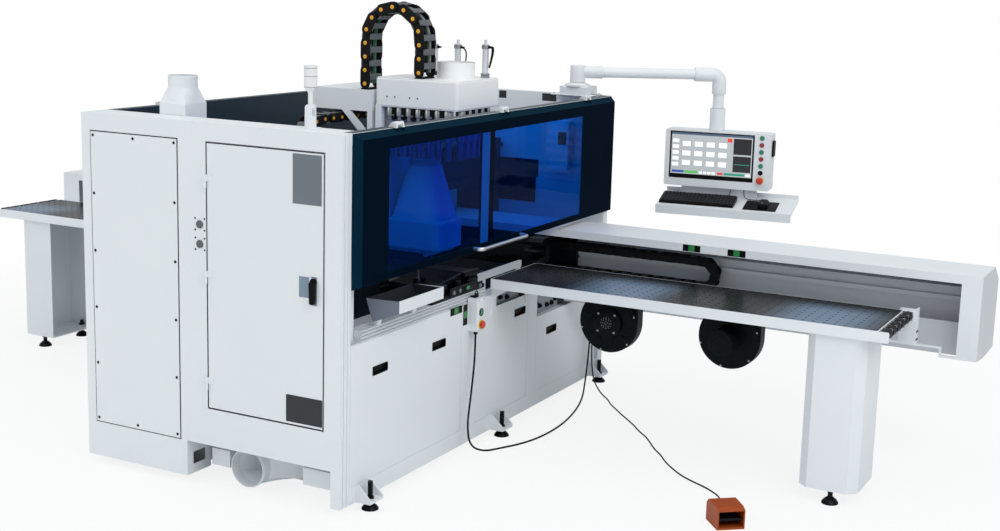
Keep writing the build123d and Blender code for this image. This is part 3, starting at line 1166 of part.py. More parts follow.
def cord(points, r):
    """Round cord along straight runs joined by tangent arcs, each arc filling most of its shorter run."""
    radii = []
    for a, b, c in zip(points, points[1:], points[2:]):
        p = Vector(*b) - Vector(*a)
        q = Vector(*c) - Vector(*b)
        half = math.radians(p.get_angle(q)) / 2
        radii.append(0.45 * min(p.length, q.length) / math.tan(half))
    path = FilletPolyline(*points, radius=radii)
    tube = sweep(Plane(path @ 0, z_dir=path % 0) * Circle(r), path=path)
    print("cord", round(2 * r, 1), "length", round(path.length), "smallest radius", round(min(radii)),
          "volume share", round(tube.volume / (math.pi * r * r * path.length), 4))
    return tube


def on_tray(points):
    """Points (along the tray, out from the drop tube, height over the tray) as points of the machine."""
    slope = math.tan(math.radians(tray_tilt))
    lifted = [Pos(x, y, tray_z + (y - tray_back) * slope + h) for x, y, h in points]
    return [tuple((panel_at * spot).position) for spot in lifted]


lead_r = 2.2
lead_h = 3.0
up_y = -42.0
up_h = case_low + 1.0 - tray_z - (up_y - tray_back) * math.tan(math.radians(tray_tilt))
board_lead = [(-60, -59, 15), (-57, -45, 10), (-44, -36, lead_h + 1), (-20, -34, lead_h),
              (6, -37, lead_h),
              (32, -34, lead_h), (58, -37, lead_h), (82, -36, lead_h + 1), (102, -39, 12),
              (110, up_y, 32), (111, up_y, up_h)]
mouse_lead = [(330, -86, 12), (332, -70, 7), (327, -52, lead_h), (312, -40, lead_h), (288, -35, lead_h),
              (262, -37, lead_h), (236, -34, lead_h), (212, -38, lead_h + 3), (198, -40, 17),
              (193, up_y, 38), (192, up_y, up_h)]
keep("desk_leads", cord(on_tray(board_lead), lead_r), cord(on_tray(mouse_lead), lead_r))

# Hand box beside the middle panel, with two buttons
box_y0 = -290.0
box_y1 = -225.0
box_z1 = base_top + 32.0
box_z0 = box_z1 - 172.0
box_front = front_x + 60.0
hand = block(front_x, box_front, box_y0, box_y1, box_z0, box_z1)
hand = fillet(hand.faces().sort_by(Axis.X)[-1].edges(), 8.0)
hand_y = (box_y0 + box_y1) / 2
start_z = box_z0 + 99.0
halt_z = box_z0 + 35.0
hand_bore = 14.0
for z in (start_z, halt_z):
    hand -= rod_x(hand_y, z, button_r + pin_gap, box_front - hand_bore, box_front + 1.0)
keep("hand_box", hand)
keep("hand_start", rod_x(hand_y, start_z, button_r, box_front - hand_bore + press + 2.0, box_front + 6.0))
dome = revolve(Plane.XZ * make_face(Polyline((0.0, 0.0), (button_r, 0.0), (button_r, 15.0), (18.0, 17.0),
                                             (20.0, 23.0),
                                             (13.0, 29.0), (0.0, 30.0), close=True)), Axis.Z)
keep("hand_stop", Pos(box_front - hand_bore + press + 2.0, hand_y, halt_z) * Rot(0, 90, 0) * dome)

# Cord fittings: gland and hook of the hand box, outlet box on the right panel, gland of the pedal
gland_r = 11.0
gland = 20.0
hand_gland_x = front_x + 30.0
outlet_y0 = 1180.0
outlet_y1 = 1248.0
outlet_z = 330.0
fit_gland = rod_z(hand_gland_x, hand_y, gland_r, box_z0 - gland, box_z0)
hook = prism_y([(front_x, box_z1), (front_x + 34.0, box_z1), (front_x + 34.0, box_z1 + 22.0),
                (front_x + 26.0, box_z1 + 22.0), (front_x + 26.0, box_z1 + 8.0), (front_x, box_z1 + 8.0)],
               hand_y - 12.0, hand_y + 12.0)
outlet = block(front_x, front_x + 50.0, outlet_y0, outlet_y1, outlet_z + gland, outlet_z + gland + 60.0)
hand_end = (front_x + 25.0, outlet_y0 + 18.0)
pedal_end = (front_x + 25.0, outlet_y0 + 50.0)
for x, y in (hand_end, pedal_end):
    outlet += rod_z(x, y, gland_r, outlet_z, outlet_z + gland + 1.0)

# Foot pedal: hooded guard, open to the front, with a sprung treadle
pedal_at = Pos(2262.0, -557.0, 0) * Rot(0, 0, 40.0)
pedal_half = 65.0
hood_form = [(-75.0, 0.0), (75.0, 0.0), (75.0, 84.0), (52.0, 106.0), (-48.0, 102.0), (-75.0, 90.0)]
hood = fillet(prism_x(hood_form, -pedal_half, pedal_half).edges().filter_by(Axis.X), 5.0)
room = prism_x([(-90.0, 12.0), (66.0, 12.0), (66.0, 80.0), (48.0, 98.0), (-46.0, 95.0), (-90.0, 82.0)],
               -pedal_half + 6.0, pedal_half - 6.0)
hood -= room
treadle_y = 46.0
treadle_z = 30.0
treadle_pin_r = 5.0
hood += rod_x(treadle_y, treadle_z, treadle_pin_r, -pedal_half + 1.0, pedal_half - 1.0)
keep("pedal_guard", pedal_at * hood)
pad = prism_x([(treadle_y, treadle_z - 7.0), (treadle_y, treadle_z + 8.0), (-62.0, 50.0), (-68.0, 44.0),
               (-64.0, 38.0)], -pedal_half + 10.0, pedal_half - 10.0)
pad += rod_x(treadle_y, treadle_z, 10.0, -pedal_half + 10.0, pedal_half - 10.0)
pad -= rod_x(treadle_y, treadle_z, treadle_pin_r + pin_gap, -pedal_half, pedal_half)
keep("treadle", pedal_at * pad)
pedal_gland = Pos(0, 75.0 + 9.0, 60.0) * Rot(90, 0, 0) * Cylinder(9.0, 18.0)
keep("cord_fittings", fit_gland, hook, outlet, pedal_at * pedal_gland)

# Cords on the floor, from the hand box and from the pedal to the outlet box
hand_cord = [
    (hand_gland_x, hand_y, box_z0 - gland), (792, -279, 506), (804, -319, 397), (811, -354, 286),
    (814, -385, 173),
    (824, -372, 60), (852, -276, 8), (900, -170, 6), (951, -65, 6), (982, 47, 6), (995, 163, 6),
    (997, 280, 6),
    (989, 397, 6), (973, 513, 6), (950, 627, 6), (922, 740, 6), (888, 852, 6), (849, 962, 7),
    (808, 1069, 25),
    (784, 1147, 104), (776, 1186, 214), hand_end + (outlet_z,)]
keep("hand_box_cord", cord(hand_cord, 5.0))
pedal_tail = tuple((pedal_at * Pos(0, 75.0 + 18.0, 60.0)).position)
pedal_cord = [
    pedal_end + (outlet_z,), (776, 1227, 228), (785, 1216, 128), (815, 1186, 37), (879, 1117, 8),
    (941, 1034, 6),
    (1009, 962, 6), (1066, 874, 6), (1133, 801, 6), (1200, 723, 6), (1271, 650, 6), (1339, 575, 6),
    (1402, 493, 6),
    (1472, 423, 6), (1532, 338, 6), (1590, 252, 6), (1656, 179, 6), (1714, 91, 6), (1781, 17, 6),
    (1852, -55, 6),
    (1936, -112, 6), (2025, -161, 6), (2100, -225, 8), (2148, -310, 24), (2178, -400, 46), pedal_tail]
keep("pedal_cord", cord(pedal_cord, 4.0))

# The origin is the middle of the bounding box on the floor, without the loose cords
loose = ("hand_box_cord", "pedal_cord", "desk_leads")
extent = Compound([s for n, group in nodes.items() if n not in loose for s in group]).bounding_box()
shift = Pos(-(extent.min.X + extent.max.X) / 2, -(extent.min.Y + extent.max.Y) / 2, 0)
print("origin in drawing", round(-shift.position.X, 3), round(-shift.position.Y, 3))
print("size", [round(v) for v in extent.size], "floor", round(extent.min.Z, 3))
for node, group in nodes.items():
    moved = [shift * s for s in group]
    export_step(moved[0] if len(moved) == 1 else Compound(moved), f"parts/{node}.step")
print(len(nodes), "pieces")
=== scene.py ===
"""Looks of the six sided drilling machine, dressed over its CAD frame. Drawing sizes are in millimetres."""

import math

import bpy
import numpy as np
from mathutils import Matrix


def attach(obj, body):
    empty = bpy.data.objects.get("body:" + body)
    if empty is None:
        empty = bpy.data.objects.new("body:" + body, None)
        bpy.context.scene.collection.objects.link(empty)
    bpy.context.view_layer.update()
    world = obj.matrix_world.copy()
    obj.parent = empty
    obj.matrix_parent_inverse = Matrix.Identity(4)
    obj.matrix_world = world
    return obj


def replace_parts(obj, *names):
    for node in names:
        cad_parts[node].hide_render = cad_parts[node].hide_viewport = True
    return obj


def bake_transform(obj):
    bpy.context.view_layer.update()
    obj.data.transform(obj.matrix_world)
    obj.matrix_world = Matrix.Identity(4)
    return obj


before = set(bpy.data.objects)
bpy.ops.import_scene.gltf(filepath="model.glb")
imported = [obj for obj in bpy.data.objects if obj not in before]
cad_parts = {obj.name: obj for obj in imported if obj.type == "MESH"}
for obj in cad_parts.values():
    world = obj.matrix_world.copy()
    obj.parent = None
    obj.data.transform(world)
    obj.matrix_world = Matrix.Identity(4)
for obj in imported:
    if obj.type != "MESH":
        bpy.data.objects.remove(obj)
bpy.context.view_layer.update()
X, Y, Z = np.eye(3)
ORIGIN = np.array((44.0, 221.948, 0.0))             # the frame's origin in the machine's drawing
NEAR, FAR, OUT, REAR = -Y, Y, X, -X                 # ways that the cabinet, the far wall, the front and the back look
NEAR_Y, FAR_Y, FAR_INNER = -1440.0, 1440.0, 1380.0  # outer faces of the side walls, inner face of the far one
FRONT_X, REAR_X, TOP_Z = 750.0, -750.0, 1740.0      # front, back and top of the enclosure
HEAD_LOW, HEAD_TOP = 1743.0, 1896.0                 # underside and top of the drilling head's cover
BLOWER_1, BLOWER_2, BLOWER_Z = 1376.6, 2009.9, 700.0    # axes of the two blowers
HUB = np.array((577.0, 1314.0, 0.0))                # foot of the pendant arm's axis
ARM_WAY = np.array((math.cos(math.radians(32.9)), math.sin(math.radians(32.9)), 0.0))
ARM_LENGTH, ARM_Z = 863.0, 1880.0                   # from the hub's axis to the drop tube's, and its height
DROP = HUB + ARM_LENGTH * ARM_WAY                   # foot of the drop tube's axis
PEDAL, PEDAL_TURN = np.array((2262.0, -557.0, 0.0)), math.radians(40.0)     # middle and turn of the foot pedal


def place(points):
    """Points of the drawing, less the frame's origin, over 1000, so in metres."""
    return (np.asarray(points, float) - ORIGIN) / 1000.0


# Surfaces

def skinned(rings):
    """Closed skins over stacks of rings (..., n, m, 3): point j of ring i makes a quad with point j + 1 and with
    ring i + 1, flat faces close both ends, or the last ring meets the first where the two are the same, and the sign
    of the volume turns all faces outwards."""
    rings = np.asarray(rings, float)
    hoop = np.allclose(rings[..., 0, :, :], rings[..., -1, :, :])
    rings = rings[..., :-1, :, :] if hoop else rings
    n, m = rings.shape[-3:-1]
    stacks = rings.reshape(-1, n * m, 3)
    i = np.arange(n * m).reshape(n, m)
    j = np.roll(i, -1, 0)
    quads = np.stack((i, np.roll(i, -1, 1), np.roll(j, -1, 1), j), -1)[:n if hoop else n - 1].reshape(-1, 4)
    ends = np.zeros((0, m), int) if hoop else np.array((np.arange(m)[::-1], np.arange(m) + (n - 1) * m))
    a, b, c, d = ((stacks[0] - stacks[0].mean(0))[quads[:, k]] for k in range(4))
    if np.sum(a * (np.cross(b, c) + np.cross(c, d))) < 0:
        quads, ends = quads[:, ::-1], ends[:, ::-1]
    step = np.arange(len(stacks))[:, None, None] * n * m
    faces = (quads + step).reshape(-1, 4).tolist() + (ends + step).reshape(-1, m).tolist()
    return stacks.reshape(-1, 3), faces


def bars(low, high, edge=1.5):
    """Blocks between corners (..., 3): four rings along Z of a rectangle whose corners are cut by edge, the first
    and the last ring drawn in by edge."""
    low, high = np.broadcast_arrays(np.atleast_2d(np.asarray(low, float)), np.atleast_2d(np.asarray(high, float)))
    sx = np.array((0, 0, 0, 1, 1, 1, 1, 0), float)
    sy = np.array((1, 0, 0, 0, 0, 1, 1, 1), float)
    cx = np.array((0, 0, 1, -1, 0, 0, -1, 1), float) * edge
    cy = np.array((-1, 1, 0, 0, 1, -1, 0, 0), float) * edge
    span = (high - low)[:, None, None, :]
    inset = np.array((edge, 0.0, 0.0, edge))[:, None]
    x = low[:, None, None, 0] + sx * span[..., 0] + cx + np.where(sx > 0, -inset, inset)
    y = low[:, None, None, 1] + sy * span[..., 1] + cy + np.where(sy > 0, -inset, inset)
    z = np.stack((low[:, 2], low[:, 2] + edge, high[:, 2] - edge, high[:, 2]), 1)[:, :, None]
    return np.stack((x, y, np.broadcast_to(z, x.shape)), -1)


def turned(profile, sides=16):
    """Rings of a turned shape about +Z: radius and height pairs carried round a circle of that many sides."""
    r, h = np.asarray(profile, float).T
    a = np.arange(sides) * 2 * math.pi / sides
    return np.stack((r[:, None] * np.cos(a), r[:, None] * np.sin(a), np.broadcast_to(h[:, None], (len(r), sides))), -1)


def hoops(inner, outer, low, high, edge=0.8, sides=24):
    """Rings of a flat hoop about +Z: an eight point section between two radii and two heights, its corners cut by
    edge, carried once round the circle, so that the last section is the first."""
    r = np.array((inner, inner, inner + edge, outer - edge, outer, outer, outer - edge, inner + edge))
    h = np.array((low + edge, high - edge, high, high, high - edge, low + edge, low, low))
    a = np.append(np.arange(sides), 0)[:, None] * 2 * math.pi / sides
    return np.stack((r * np.cos(a), r * np.sin(a), np.broadcast_to(h, (sides + 1, 8))), -1)


def facing(rings, way):
    """Rings turned so that their +Z points the way given and their +Y as near to up as it can."""
    w = np.asarray(way, float) / np.linalg.norm(way)
    u = np.cross(Z, w)
    u = u / np.linalg.norm(u) if np.linalg.norm(u) > 1e-6 else X
    return np.asarray(rings, float) @ np.stack((u, np.cross(w, u), w))


def at(rings, places, way=Z):
    """The same rings, turned to look one way and added to each of the places."""
    return facing(rings, way)[None] + np.atleast_2d(np.asarray(places, float))[:, None, None, :]


def spots(x, y, z):
    """Points from three numbers or rows of numbers, a number being repeated along the rows."""
    return np.stack(np.broadcast_arrays(x, y, z), -1).astype(float).reshape(-1, 3)


def round_spots(middle, radius, count, start=0.0):
    """Points round a circle that looks to the near side: the middle + r (cos a, 0, sin a)."""
    a = start + np.arange(count) * 2 * math.pi / count
    return np.asarray(middle) + spots(radius * np.cos(a), 0.0, radius * np.sin(a))


def plates(outline, levels):
    """Rings of an outline (m, 2) about its middle: each level is a height and how far the outline is drawn in there."""
    outline = np.asarray(outline, float)
    reach = np.abs(outline).max(0)
    rings = [np.column_stack((outline * (1 - inset / reach), np.full(len(outline), h))) for h, inset in levels]
    return np.array(rings)


def rounded(width, height, radius, steps=4):
    """Outline of a rectangle about (0, 0): four quarter circles of the radius, joined."""
    a = np.linspace(0, math.pi / 2, steps)
    quarter = np.stack((np.cos(a), np.sin(a)), -1) * radius
    turns = [np.array(((c, s), (-s, c))) for c, s in ((1, 0), (0, 1), (-1, 0), (0, -1))]
    middles = ((1, 1), (-1, 1), (-1, -1), (1, -1))
    return np.concatenate([quarter @ t + (sx * (width / 2 - radius), sy * (height / 2 - radius))
                           for t, (sx, sy) in zip(turns, middles)])


def tubes(path, radius, sides=10, up=Z):
    """Rings round a path (n, 3): each is a circle across the path's direction, its first axis square to up."""
    path = np.asarray(path, float)
    t = np.gradient(path, axis=0)
    t /= np.linalg.norm(t, axis=1)[:, None]
    u = np.cross(np.broadcast_to(up, t.shape), t)
    u /= np.linalg.norm(u, axis=1)[:, None]
    v = np.cross(t, u)
    a = np.arange(sides) * 2 * math.pi / sides
    r = np.broadcast_to(np.asarray(radius, float), len(path))[:, None, None]
    return path[:, None] + r * (np.cos(a)[:, None] * u[:, None] + np.sin(a)[:, None] * v[:, None])


def eased(points, count):
    """A smooth line through few points: three turns of corner cutting at a quarter and three quarters of each run,
    then count points at equal spacing along it."""
    p = np.asarray(points, float)
    for _ in range(3):
        cut = np.stack((p[:-1] * 0.75 + p[1:] * 0.25, p[:-1] * 0.25 + p[1:] * 0.75), 1).reshape(-1, 3)
        p = np.concatenate((p[:1], cut, p[-1:]))
    s = np.concatenate(((0.0,), np.cumsum(np.linalg.norm(np.diff(p, axis=0), axis=1))))
    at_s = np.linspace(0, s[-1], count)
    return np.stack([np.interp(at_s, s, p[:, k]) for k in range(3)], -1)


def piece(name, stacks, finish, body="machine", angle=38.0):
    """One mesh from stacks of rings in the drawing, with its finish, riding on a body if it has one."""
    points, faces = [], []
    for stack in stacks:
        p, f = skinned(stack)
        base = sum(len(q) for q in points)
        points.append(p)
        faces += [[k + base for k in face] for face in f]
    mesh = bpy.data.meshes.new(name)
    mesh.from_pydata(place(np.concatenate(points)).tolist(), [], faces)
    mesh.shade_smooth()
    mesh.set_sharp_from_angle(angle=math.radians(angle))
    mesh.materials.append(finish)
    made = bpy.data.objects.new(name, mesh)
    bpy.context.scene.collection.objects.link(made)
    if body:
        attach(made, body)
    return made


def block(name, low, high, edge, finish, body="machine"):
    """One mesh of blocks between corners, their edges cut by edge."""
    return piece(name, [bars(low, high, edge)], finish, body)


# Finishes

RGBA, TIMES, SOFT = {"data_type": "RGBA"}, {"operation": "MULTIPLY"}, {"interpolation_type": "SMOOTHSTEP"}
OVER, UNDER, WITHIN = "GREATER_THAN", "LESS_THAN", "COMPARE"
WHITE_SHADES, SLATE = ("#eef2f4", "#e6ebee"), ("#23282e",) * 2


def linear(code):
    """sRGB hex to linear: c / 12.92 under 0.04045, otherwise ((c + 0.055) / 1.055) to the power 2.4."""
    c = np.array([int(code[k:k + 2], 16) / 255 for k in (1, 3, 5)])
    c = np.where(c <= 0.04045, c / 12.92, ((c + 0.055) / 1.055) ** 2.4)
    return (*c.tolist(), 1.0)


def feed(made, **inputs):
    """A node's inputs by name, or by number after an n: values, sockets, or nodes by their first output in use."""
    for key, value in inputs.items():
        socket = made.inputs[int(key[1:])] if key[1:].isdigit() else made.inputs[key.replace("_", " ")]
        if isinstance(value, bpy.types.Node):
            value = next(out for out in value.outputs if out.enabled)
        if isinstance(value, bpy.types.NodeSocket):
            made.id_data.links.new(value, socket)
        else:
            socket.default_value = value


def node(tree, kind, settings=None, **inputs):
    """One node with its own settings and what is fed to its inputs."""
    made = tree.nodes.new("ShaderNode" + kind)
    for key, value in (settings or {}).items():
        setattr(made, key, value)
    feed(made, **inputs)
    return made


def surface(name, **values):
    """A material whose shader has these values by input name."""
    made = bpy.data.materials.new(name)
    made.use_nodes = True
    shader = made.node_tree.nodes["Principled BSDF"]
    feed(shader, **values)
    return made, made.node_tree, shader


def powder_coat(name, light, shade, rough, peel=0.035, gloss=0.5):
    """Sprayed and baked paint on sheet steel: two near shades drift over half a metre, and orange peel of 3 mm,
    drawn at 11 mm so that it shows, ripples the gloss."""
    made, tree, shader = surface(name, Roughness=rough, Specular_IOR_Level=gloss)
    where = node(tree, "TexCoord").outputs["Object"]
    drift = node(tree, "TexNoise", Vector=where, Scale=1 / 0.5, Detail=2.0, Roughness=0.6)
    ripple = node(tree, "TexNoise", Vector=where, Scale=1 / 0.011, Detail=1.0)
    feed(shader, Base_Color=node(tree, "Mix", RGBA, Factor=drift, n6=linear(light), n7=linear(shade)),
         Normal=node(tree, "Bump", Height=ripple, Strength=peel, Distance=0.001),
         Roughness=node(tree, "MapRange", Value=drift, To_Min=rough - 0.05, To_Max=rough + 0.06))
    return made


def moulded(name, tone, rough, grain=0.0015, depth=0.05, coat=0.0, gloss=0.5):
    """Moulded plastic: one tone, a fine spark-eroded grain whose size is drawn about three times as coarse."""
    made, tree, shader = surface(name, Base_Color=linear(tone), Roughness=rough, Coat_Weight=coat, IOR=1.49,
                                 Specular_IOR_Level=gloss)
    where = node(tree, "TexCoord").outputs["Object"]
    pits = node(tree, "TexNoise", Vector=where, Scale=1 / (3 * grain), Detail=2.0)
    feed(shader, Normal=node(tree, "Bump", Height=pits, Strength=depth, Distance=0.0004),
         Roughness=node(tree, "MapRange", Value=pits, To_Min=rough - 0.06, To_Max=rough + 0.08))
    return made


def bare_metal(name, light, shade, rough, draw=(1.0, 1.0, 1.0), metallic=1.0):
    """Bare or anodised metal: tool marks of 4 mm, stretched along the axis whose draw is small."""
    made, tree, shader = surface(name, Metallic=metallic, Roughness=rough)
    along = node(tree, "VectorMath", TIMES, n0=node(tree, "TexCoord").outputs["Object"], n1=draw)
    marks = node(tree, "TexNoise", Vector=along, Scale=1 / 0.004, Detail=3.0)
    feed(shader, Base_Color=node(tree, "Mix", RGBA, Factor=marks, n6=linear(light), n7=linear(shade)),
         Roughness=node(tree, "MapRange", Value=marks, To_Min=rough - 0.08, To_Max=rough + 0.1))
    return made


def masked_coat(name, rough, shades, layers, gloss=0.5):
    """Powder coat in several colours: a pair of shades drifts over half a metre, and each layer's own pair takes its
    place where all the layer's tests hold. A test sets the position or the normal along an axis against a limit."""
    made, tree, shader = surface(name, Roughness=rough, Specular_IOR_Level=gloss)
    where = node(tree, "TexCoord").outputs
    drift = node(tree, "TexNoise", Vector=where["Object"], Scale=1 / 0.5, Detail=2.0)
    colour = None
    for pair, tests in ((shades, ()), *layers):
        light, shade = (linear(tone) for tone in pair)
        coat = node(tree, "Mix", RGBA, Factor=drift, n6=light, n7=shade)
        share = 1.0
        for source, axis, operation, limit, spread in tests:
            along = node(tree, "VectorMath", {"operation": "DOT_PRODUCT"}, n0=where[source], n1=tuple(axis))
            held = node(tree, "Math", {"operation": operation}, n0=along, n1=limit, n2=spread)
            share = node(tree, "Math", TIMES, n0=held, n1=share)
        colour = node(tree, "Mix", RGBA, Factor=share, n6=colour, n7=coat) if colour else coat
    feed(shader, Base_Color=colour)
    return made


# Satin polyester powder coat, cool white: broad soft highlights, faint orange peel
white_coat = powder_coat("powder_coat_cool_white", *WHITE_SHADES, 0.38)
# The same coat made paler as painted light: cover of the drilling head, box on the far wall
painted_light_white_coat = powder_coat("powder_coat_white_painted_light", "#fafcfd", "#f4f7f8", 0.38)
# The same coat in mid grey: gear inside the cabinet
grey_coat = powder_coat("powder_coat_grey", "#8f9397", "#83878b", 0.45)
# The same coat in dark slate: bridge and lower saddle inside the enclosure
slate_coat = powder_coat("powder_coat_dark_slate", "#2c333b", "#252b33", 0.45, gloss=0.3)
# Satin black paint on pressed steel: blower housings
black_coat = powder_coat("paint_satin_black", "#0b1113", "#070b0d", 0.38, 0.05, 0.08)
# Hammered orange enamel on cast metal: foot pedal hood
orange_enamel = powder_coat("enamel_orange", "#ad4c18", "#94400f", 0.42, 0.12, 0.25)
# Glass filled nylon, black: chain links, rollers, treadle, valves
black_nylon = moulded("nylon_black", "#0d0d0f", 0.42, gloss=0.14)
# ABS, black: keyboard, pulls, tags, lock
black_abs = moulded("abs_black", "#08090a", 0.38, 0.001, gloss=0.12)
# The same, worn paler: keys of the keyboard
key_abs = moulded("abs_dark_grey", "#26292c", 0.45, 0.001, gloss=0.2)
# ABS, grey: cross bars of the chains, caps
grey_abs = moulded("abs_grey", "#5d6166", 0.45)
# ABS, yellow: collars of the stop buttons
yellow_abs = moulded("abs_yellow", "#e8b90f", 0.4, 0.001)
# Acetal, amber: pins of the chains
amber_pin = moulded("acetal_amber", "#f0aa1a", 0.35)
# Polycarbonate, clear gloss, green and red: push buttons
green_button = moulded("polycarbonate_green", "#0b8a60", 0.25, 0.001, 0.02, 0.3)
red_button = moulded("polycarbonate_red", "#b01c28", 0.25, 0.001, 0.02, 0.3)
# The same in orange red: mushroom heads of the stop buttons
stop_red = moulded("polycarbonate_orange_red", "#d03a1c", 0.3, 0.001, 0.02, 0.2)
# Opal polycarbonate: lamp of the signal tower
opal_lamp = moulded("polycarbonate_opal", "#eceeee", 0.28, 0.001, 0.02, 0.3)
# Opaque blue polycarbonate strip, painted light: it stands where the stiffener behind the pane would show lit
painted_light_strip = moulded("strip_blue_painted_light", "#0547a0", 0.4, 0.002, 0.02, gloss=0.03)
# Polyester plates, bare: satin grey, blue grey, slate and dark grey
grey_plate = moulded("polyester_plate_grey", "#8e959b", 0.4, 0.002)
blue_plate = moulded("polyester_plate_blue_grey", "#7f93a3", 0.4, 0.002)
slate_plate = moulded("polyester_plate_slate", "#6f777e", 0.4, 0.002)
dark_plate = moulded("polyester_plate_dark", "#33383a", 0.5, 0.002, gloss=0.3)
# Polyester film tags, gloss green
green_film = moulded("polyester_film_green", "#1f8a3d", 0.3, 0.002, 0.02, 0.2)
# Vinyl over a wire helix, pale grey: ribbed dust duct
duct_vinyl = moulded("vinyl_duct_grey", "#c9ced3", 0.5, 0.002)
# Rubber coated sheet, dark slate: plate on the far wall; inside the chute the same sheet is painted shade
slate_sheet_and_painted_shade = moulded("rubber_sheet_slate_and_painted_shade", "#20252d", 0.6, 0.002, 0.1, gloss=0.3)
# Soft PVC sheath, black: cords, hoses, seals; grey and green: cables in the chains
black_rubber = moulded("pvc_sheath_black", "#0c0c0e", 0.55, 0.002, 0.1, gloss=0.15)
grey_rubber = moulded("pvc_sheath_grey", "#8b9094", 0.5, 0.002, 0.1)
green_rubber = moulded("pvc_sheath_green", "#2c7a4b", 0.5, 0.002, 0.1)
# Extruded aluminium, clear anodised: fine lines along the profile
profile_alloy = bare_metal("aluminium_anodised", "#e6e9ec", "#d6dade", 0.5, (1.0, 0.02, 1.0), 0.4)
# Ground steel: bits and spindle sleeves
ground_steel = bare_metal("steel_ground", "#b9bdc1", "#9a9ea3", 0.3)
# Blackened steel: clamps, bolts, levelling feet
black_steel = bare_metal("steel_blackened", "#2a2c2f", "#17181a", 0.4)
# Satin chrome plate: bar handle
chrome = bare_metal("chrome_satin", "#e2e4e6", "#d4d7da", 0.28)
# Zinc plated steel: screws, collars, bezels
zinc = bare_metal("steel_zinc_plated", "#b4b8bc", "#8f9398", 0.42)
# Tinted polycarbonate sheet: deep blue, clear, glossy
blue_pane, _, _ = surface("polycarbonate_blue", Base_Color=linear("#0e6ede"), Roughness=0.03, IOR=1.07,
                          Transmission_Weight=0.985)

# Satin gloss laminate on the air tables, black, drilled with 4 mm air holes 50 mm apart, drawn at 12 mm so they show,
# with a painted blue grey sheen in bands, a painted reflection that fades towards the clamp beam
SHEEN_X, SHEEN_PITCH = 1455.0, 1045.0     # middle of one band of painted sheen, and the way to the next
SHEEN_FULL, SHEEN_GONE = 180.0, 400.0     # the painted sheen fades between these two across the table
black_deck_painted_sheen, tree, shader = surface("laminate_gloss_black_painted_sheen", Roughness=0.22, Specular_IOR_Level=0.1)
where = node(tree, "TexCoord").outputs["Object"]
cells = node(tree, "VectorMath", TIMES, n0=where, n1=(1 / 0.05, 1 / 0.05, 0.0))
cell = node(tree, "VectorMath", {"operation": "FRACTION"}, n0=cells)
middle = node(tree, "VectorMath", {"operation": "DISTANCE"}, n0=cell, n1=(0.5, 0.5, 0.0))
hole = node(tree, "Math", {"operation": UNDER}, n0=middle, n1=0.12)
spot = node(tree, "SeparateXYZ", Vector=where).outputs
sheen_bands = node(tree, "Math", {"operation": "MULTIPLY_ADD"}, n0=spot["X"], n1=2000 * math.pi / SHEEN_PITCH,
             n2=-2 * math.pi * (SHEEN_X - ORIGIN[0]) / SHEEN_PITCH)
sheen_bands = node(tree, "Math", {"operation": "COSINE"}, n0=sheen_bands)
sheen_bands = node(tree, "MapRange", SOFT, Value=sheen_bands, From_Min=-0.35, From_Max=1.0)
clear = node(tree, "MapRange", SOFT, Value=spot["Y"], From_Min=(SHEEN_GONE - ORIGIN[1]) / 1000,
             From_Max=(SHEEN_FULL - ORIGIN[1]) / 1000)
painted_sheen = node(tree, "Math", TIMES, n0=sheen_bands, n1=clear)
film = node(tree, "Mix", RGBA, Factor=painted_sheen, n6=linear("#05070a"), n7=linear("#667c94"))
feed(shader, Base_Color=node(tree, "Mix", RGBA, Factor=hole, n6=film, n7=linear("#000000")),
     Roughness=node(tree, "MapRange", Value=hole, To_Min=0.22, To_Max=0.95))

# Powder coat of the walls: cool white outside, slate blue on the inner face of the rear wall and on the header's top
rear_wall = ("Object", X, UNDER, -0.734, 0.0)
header_top = (("Object", X, OVER, 0.646, 0.0), ("Object", Z, WITHIN, TOP_Z / 1000, 0.0006))
blue_slate = ("#162b39",) * 2
wall_coat = masked_coat("powder_coat_white_and_slate", 0.4, WHITE_SHADES, (
    (blue_slate, (rear_wall, ("Normal", X, OVER, 0.5, 0.0))), (blue_slate, (rear_wall, ("Normal", Z, OVER, 0.5, 0.0))),
    (blue_slate, header_top)))
# Powder coat of the clamp beam: cool white outside, light grey partly painted shade inside the folded sheet, dark slate
# painted shade within the enclosure
beam_inside = (("Object", Y, WITHIN, (949.0 - ORIGIN[1]) / 1000, 0.237), ("Object", Z, WITHIN, 0.805, 0.223),
               ("Object", (0.0, 0.63, 1.0), UNDER, 1.0276 + 0.63 * (1055.0 - ORIGIN[1]) / 1000, 0.0))
enclosed = ("Object", X, WITHIN, -ORIGIN[0] / 1000, 0.76)
beam_coat_painted_shade = masked_coat("powder_coat_white_with_painted_shade_inside", 0.42, WHITE_SHADES, (
    (("#d8dbde", "#ccd0d4"), beam_inside), (SLATE, (*beam_inside, enclosed))))
# Powder coat of the beam's spine and rail: light grey, partly painted shade, and dark slate painted shade on the length
# inside the enclosure
spine_coat_painted_shade = masked_coat("powder_coat_grey_with_painted_shade", 0.45, ("#ccd0d4", "#c0c4c9"), ((SLATE, (enclosed,)),))
# Matt powder coat, navy: the window door, its bevels a shade paler than its broad face as a painted highlight, its
# hinge ears cool white
navy_coat_painted_highlight = masked_coat("powder_coat_navy_matt_painted_highlight", 0.6, ("#08293a", "#062231"), (
    (("#021324", "#010d1a"), (("Normal", X, OVER, 0.97, 0.0),)),
    (("#e2e7ea",) * 2, (("Object", Z, OVER, 1.7385, 0.0),))), 0.01)
# Powder coat of the base: cool white outside, dark slate on the bars inside it, painted shade
base_coat_painted_shade = masked_coat("powder_coat_white_with_painted_shade_bars", 0.4, WHITE_SHADES, (
    (("#2a3038",) * 2, (("Object", X, WITHIN, 0.0, 0.616), ("Object", Z, OVER, 0.6, 0.0))),))
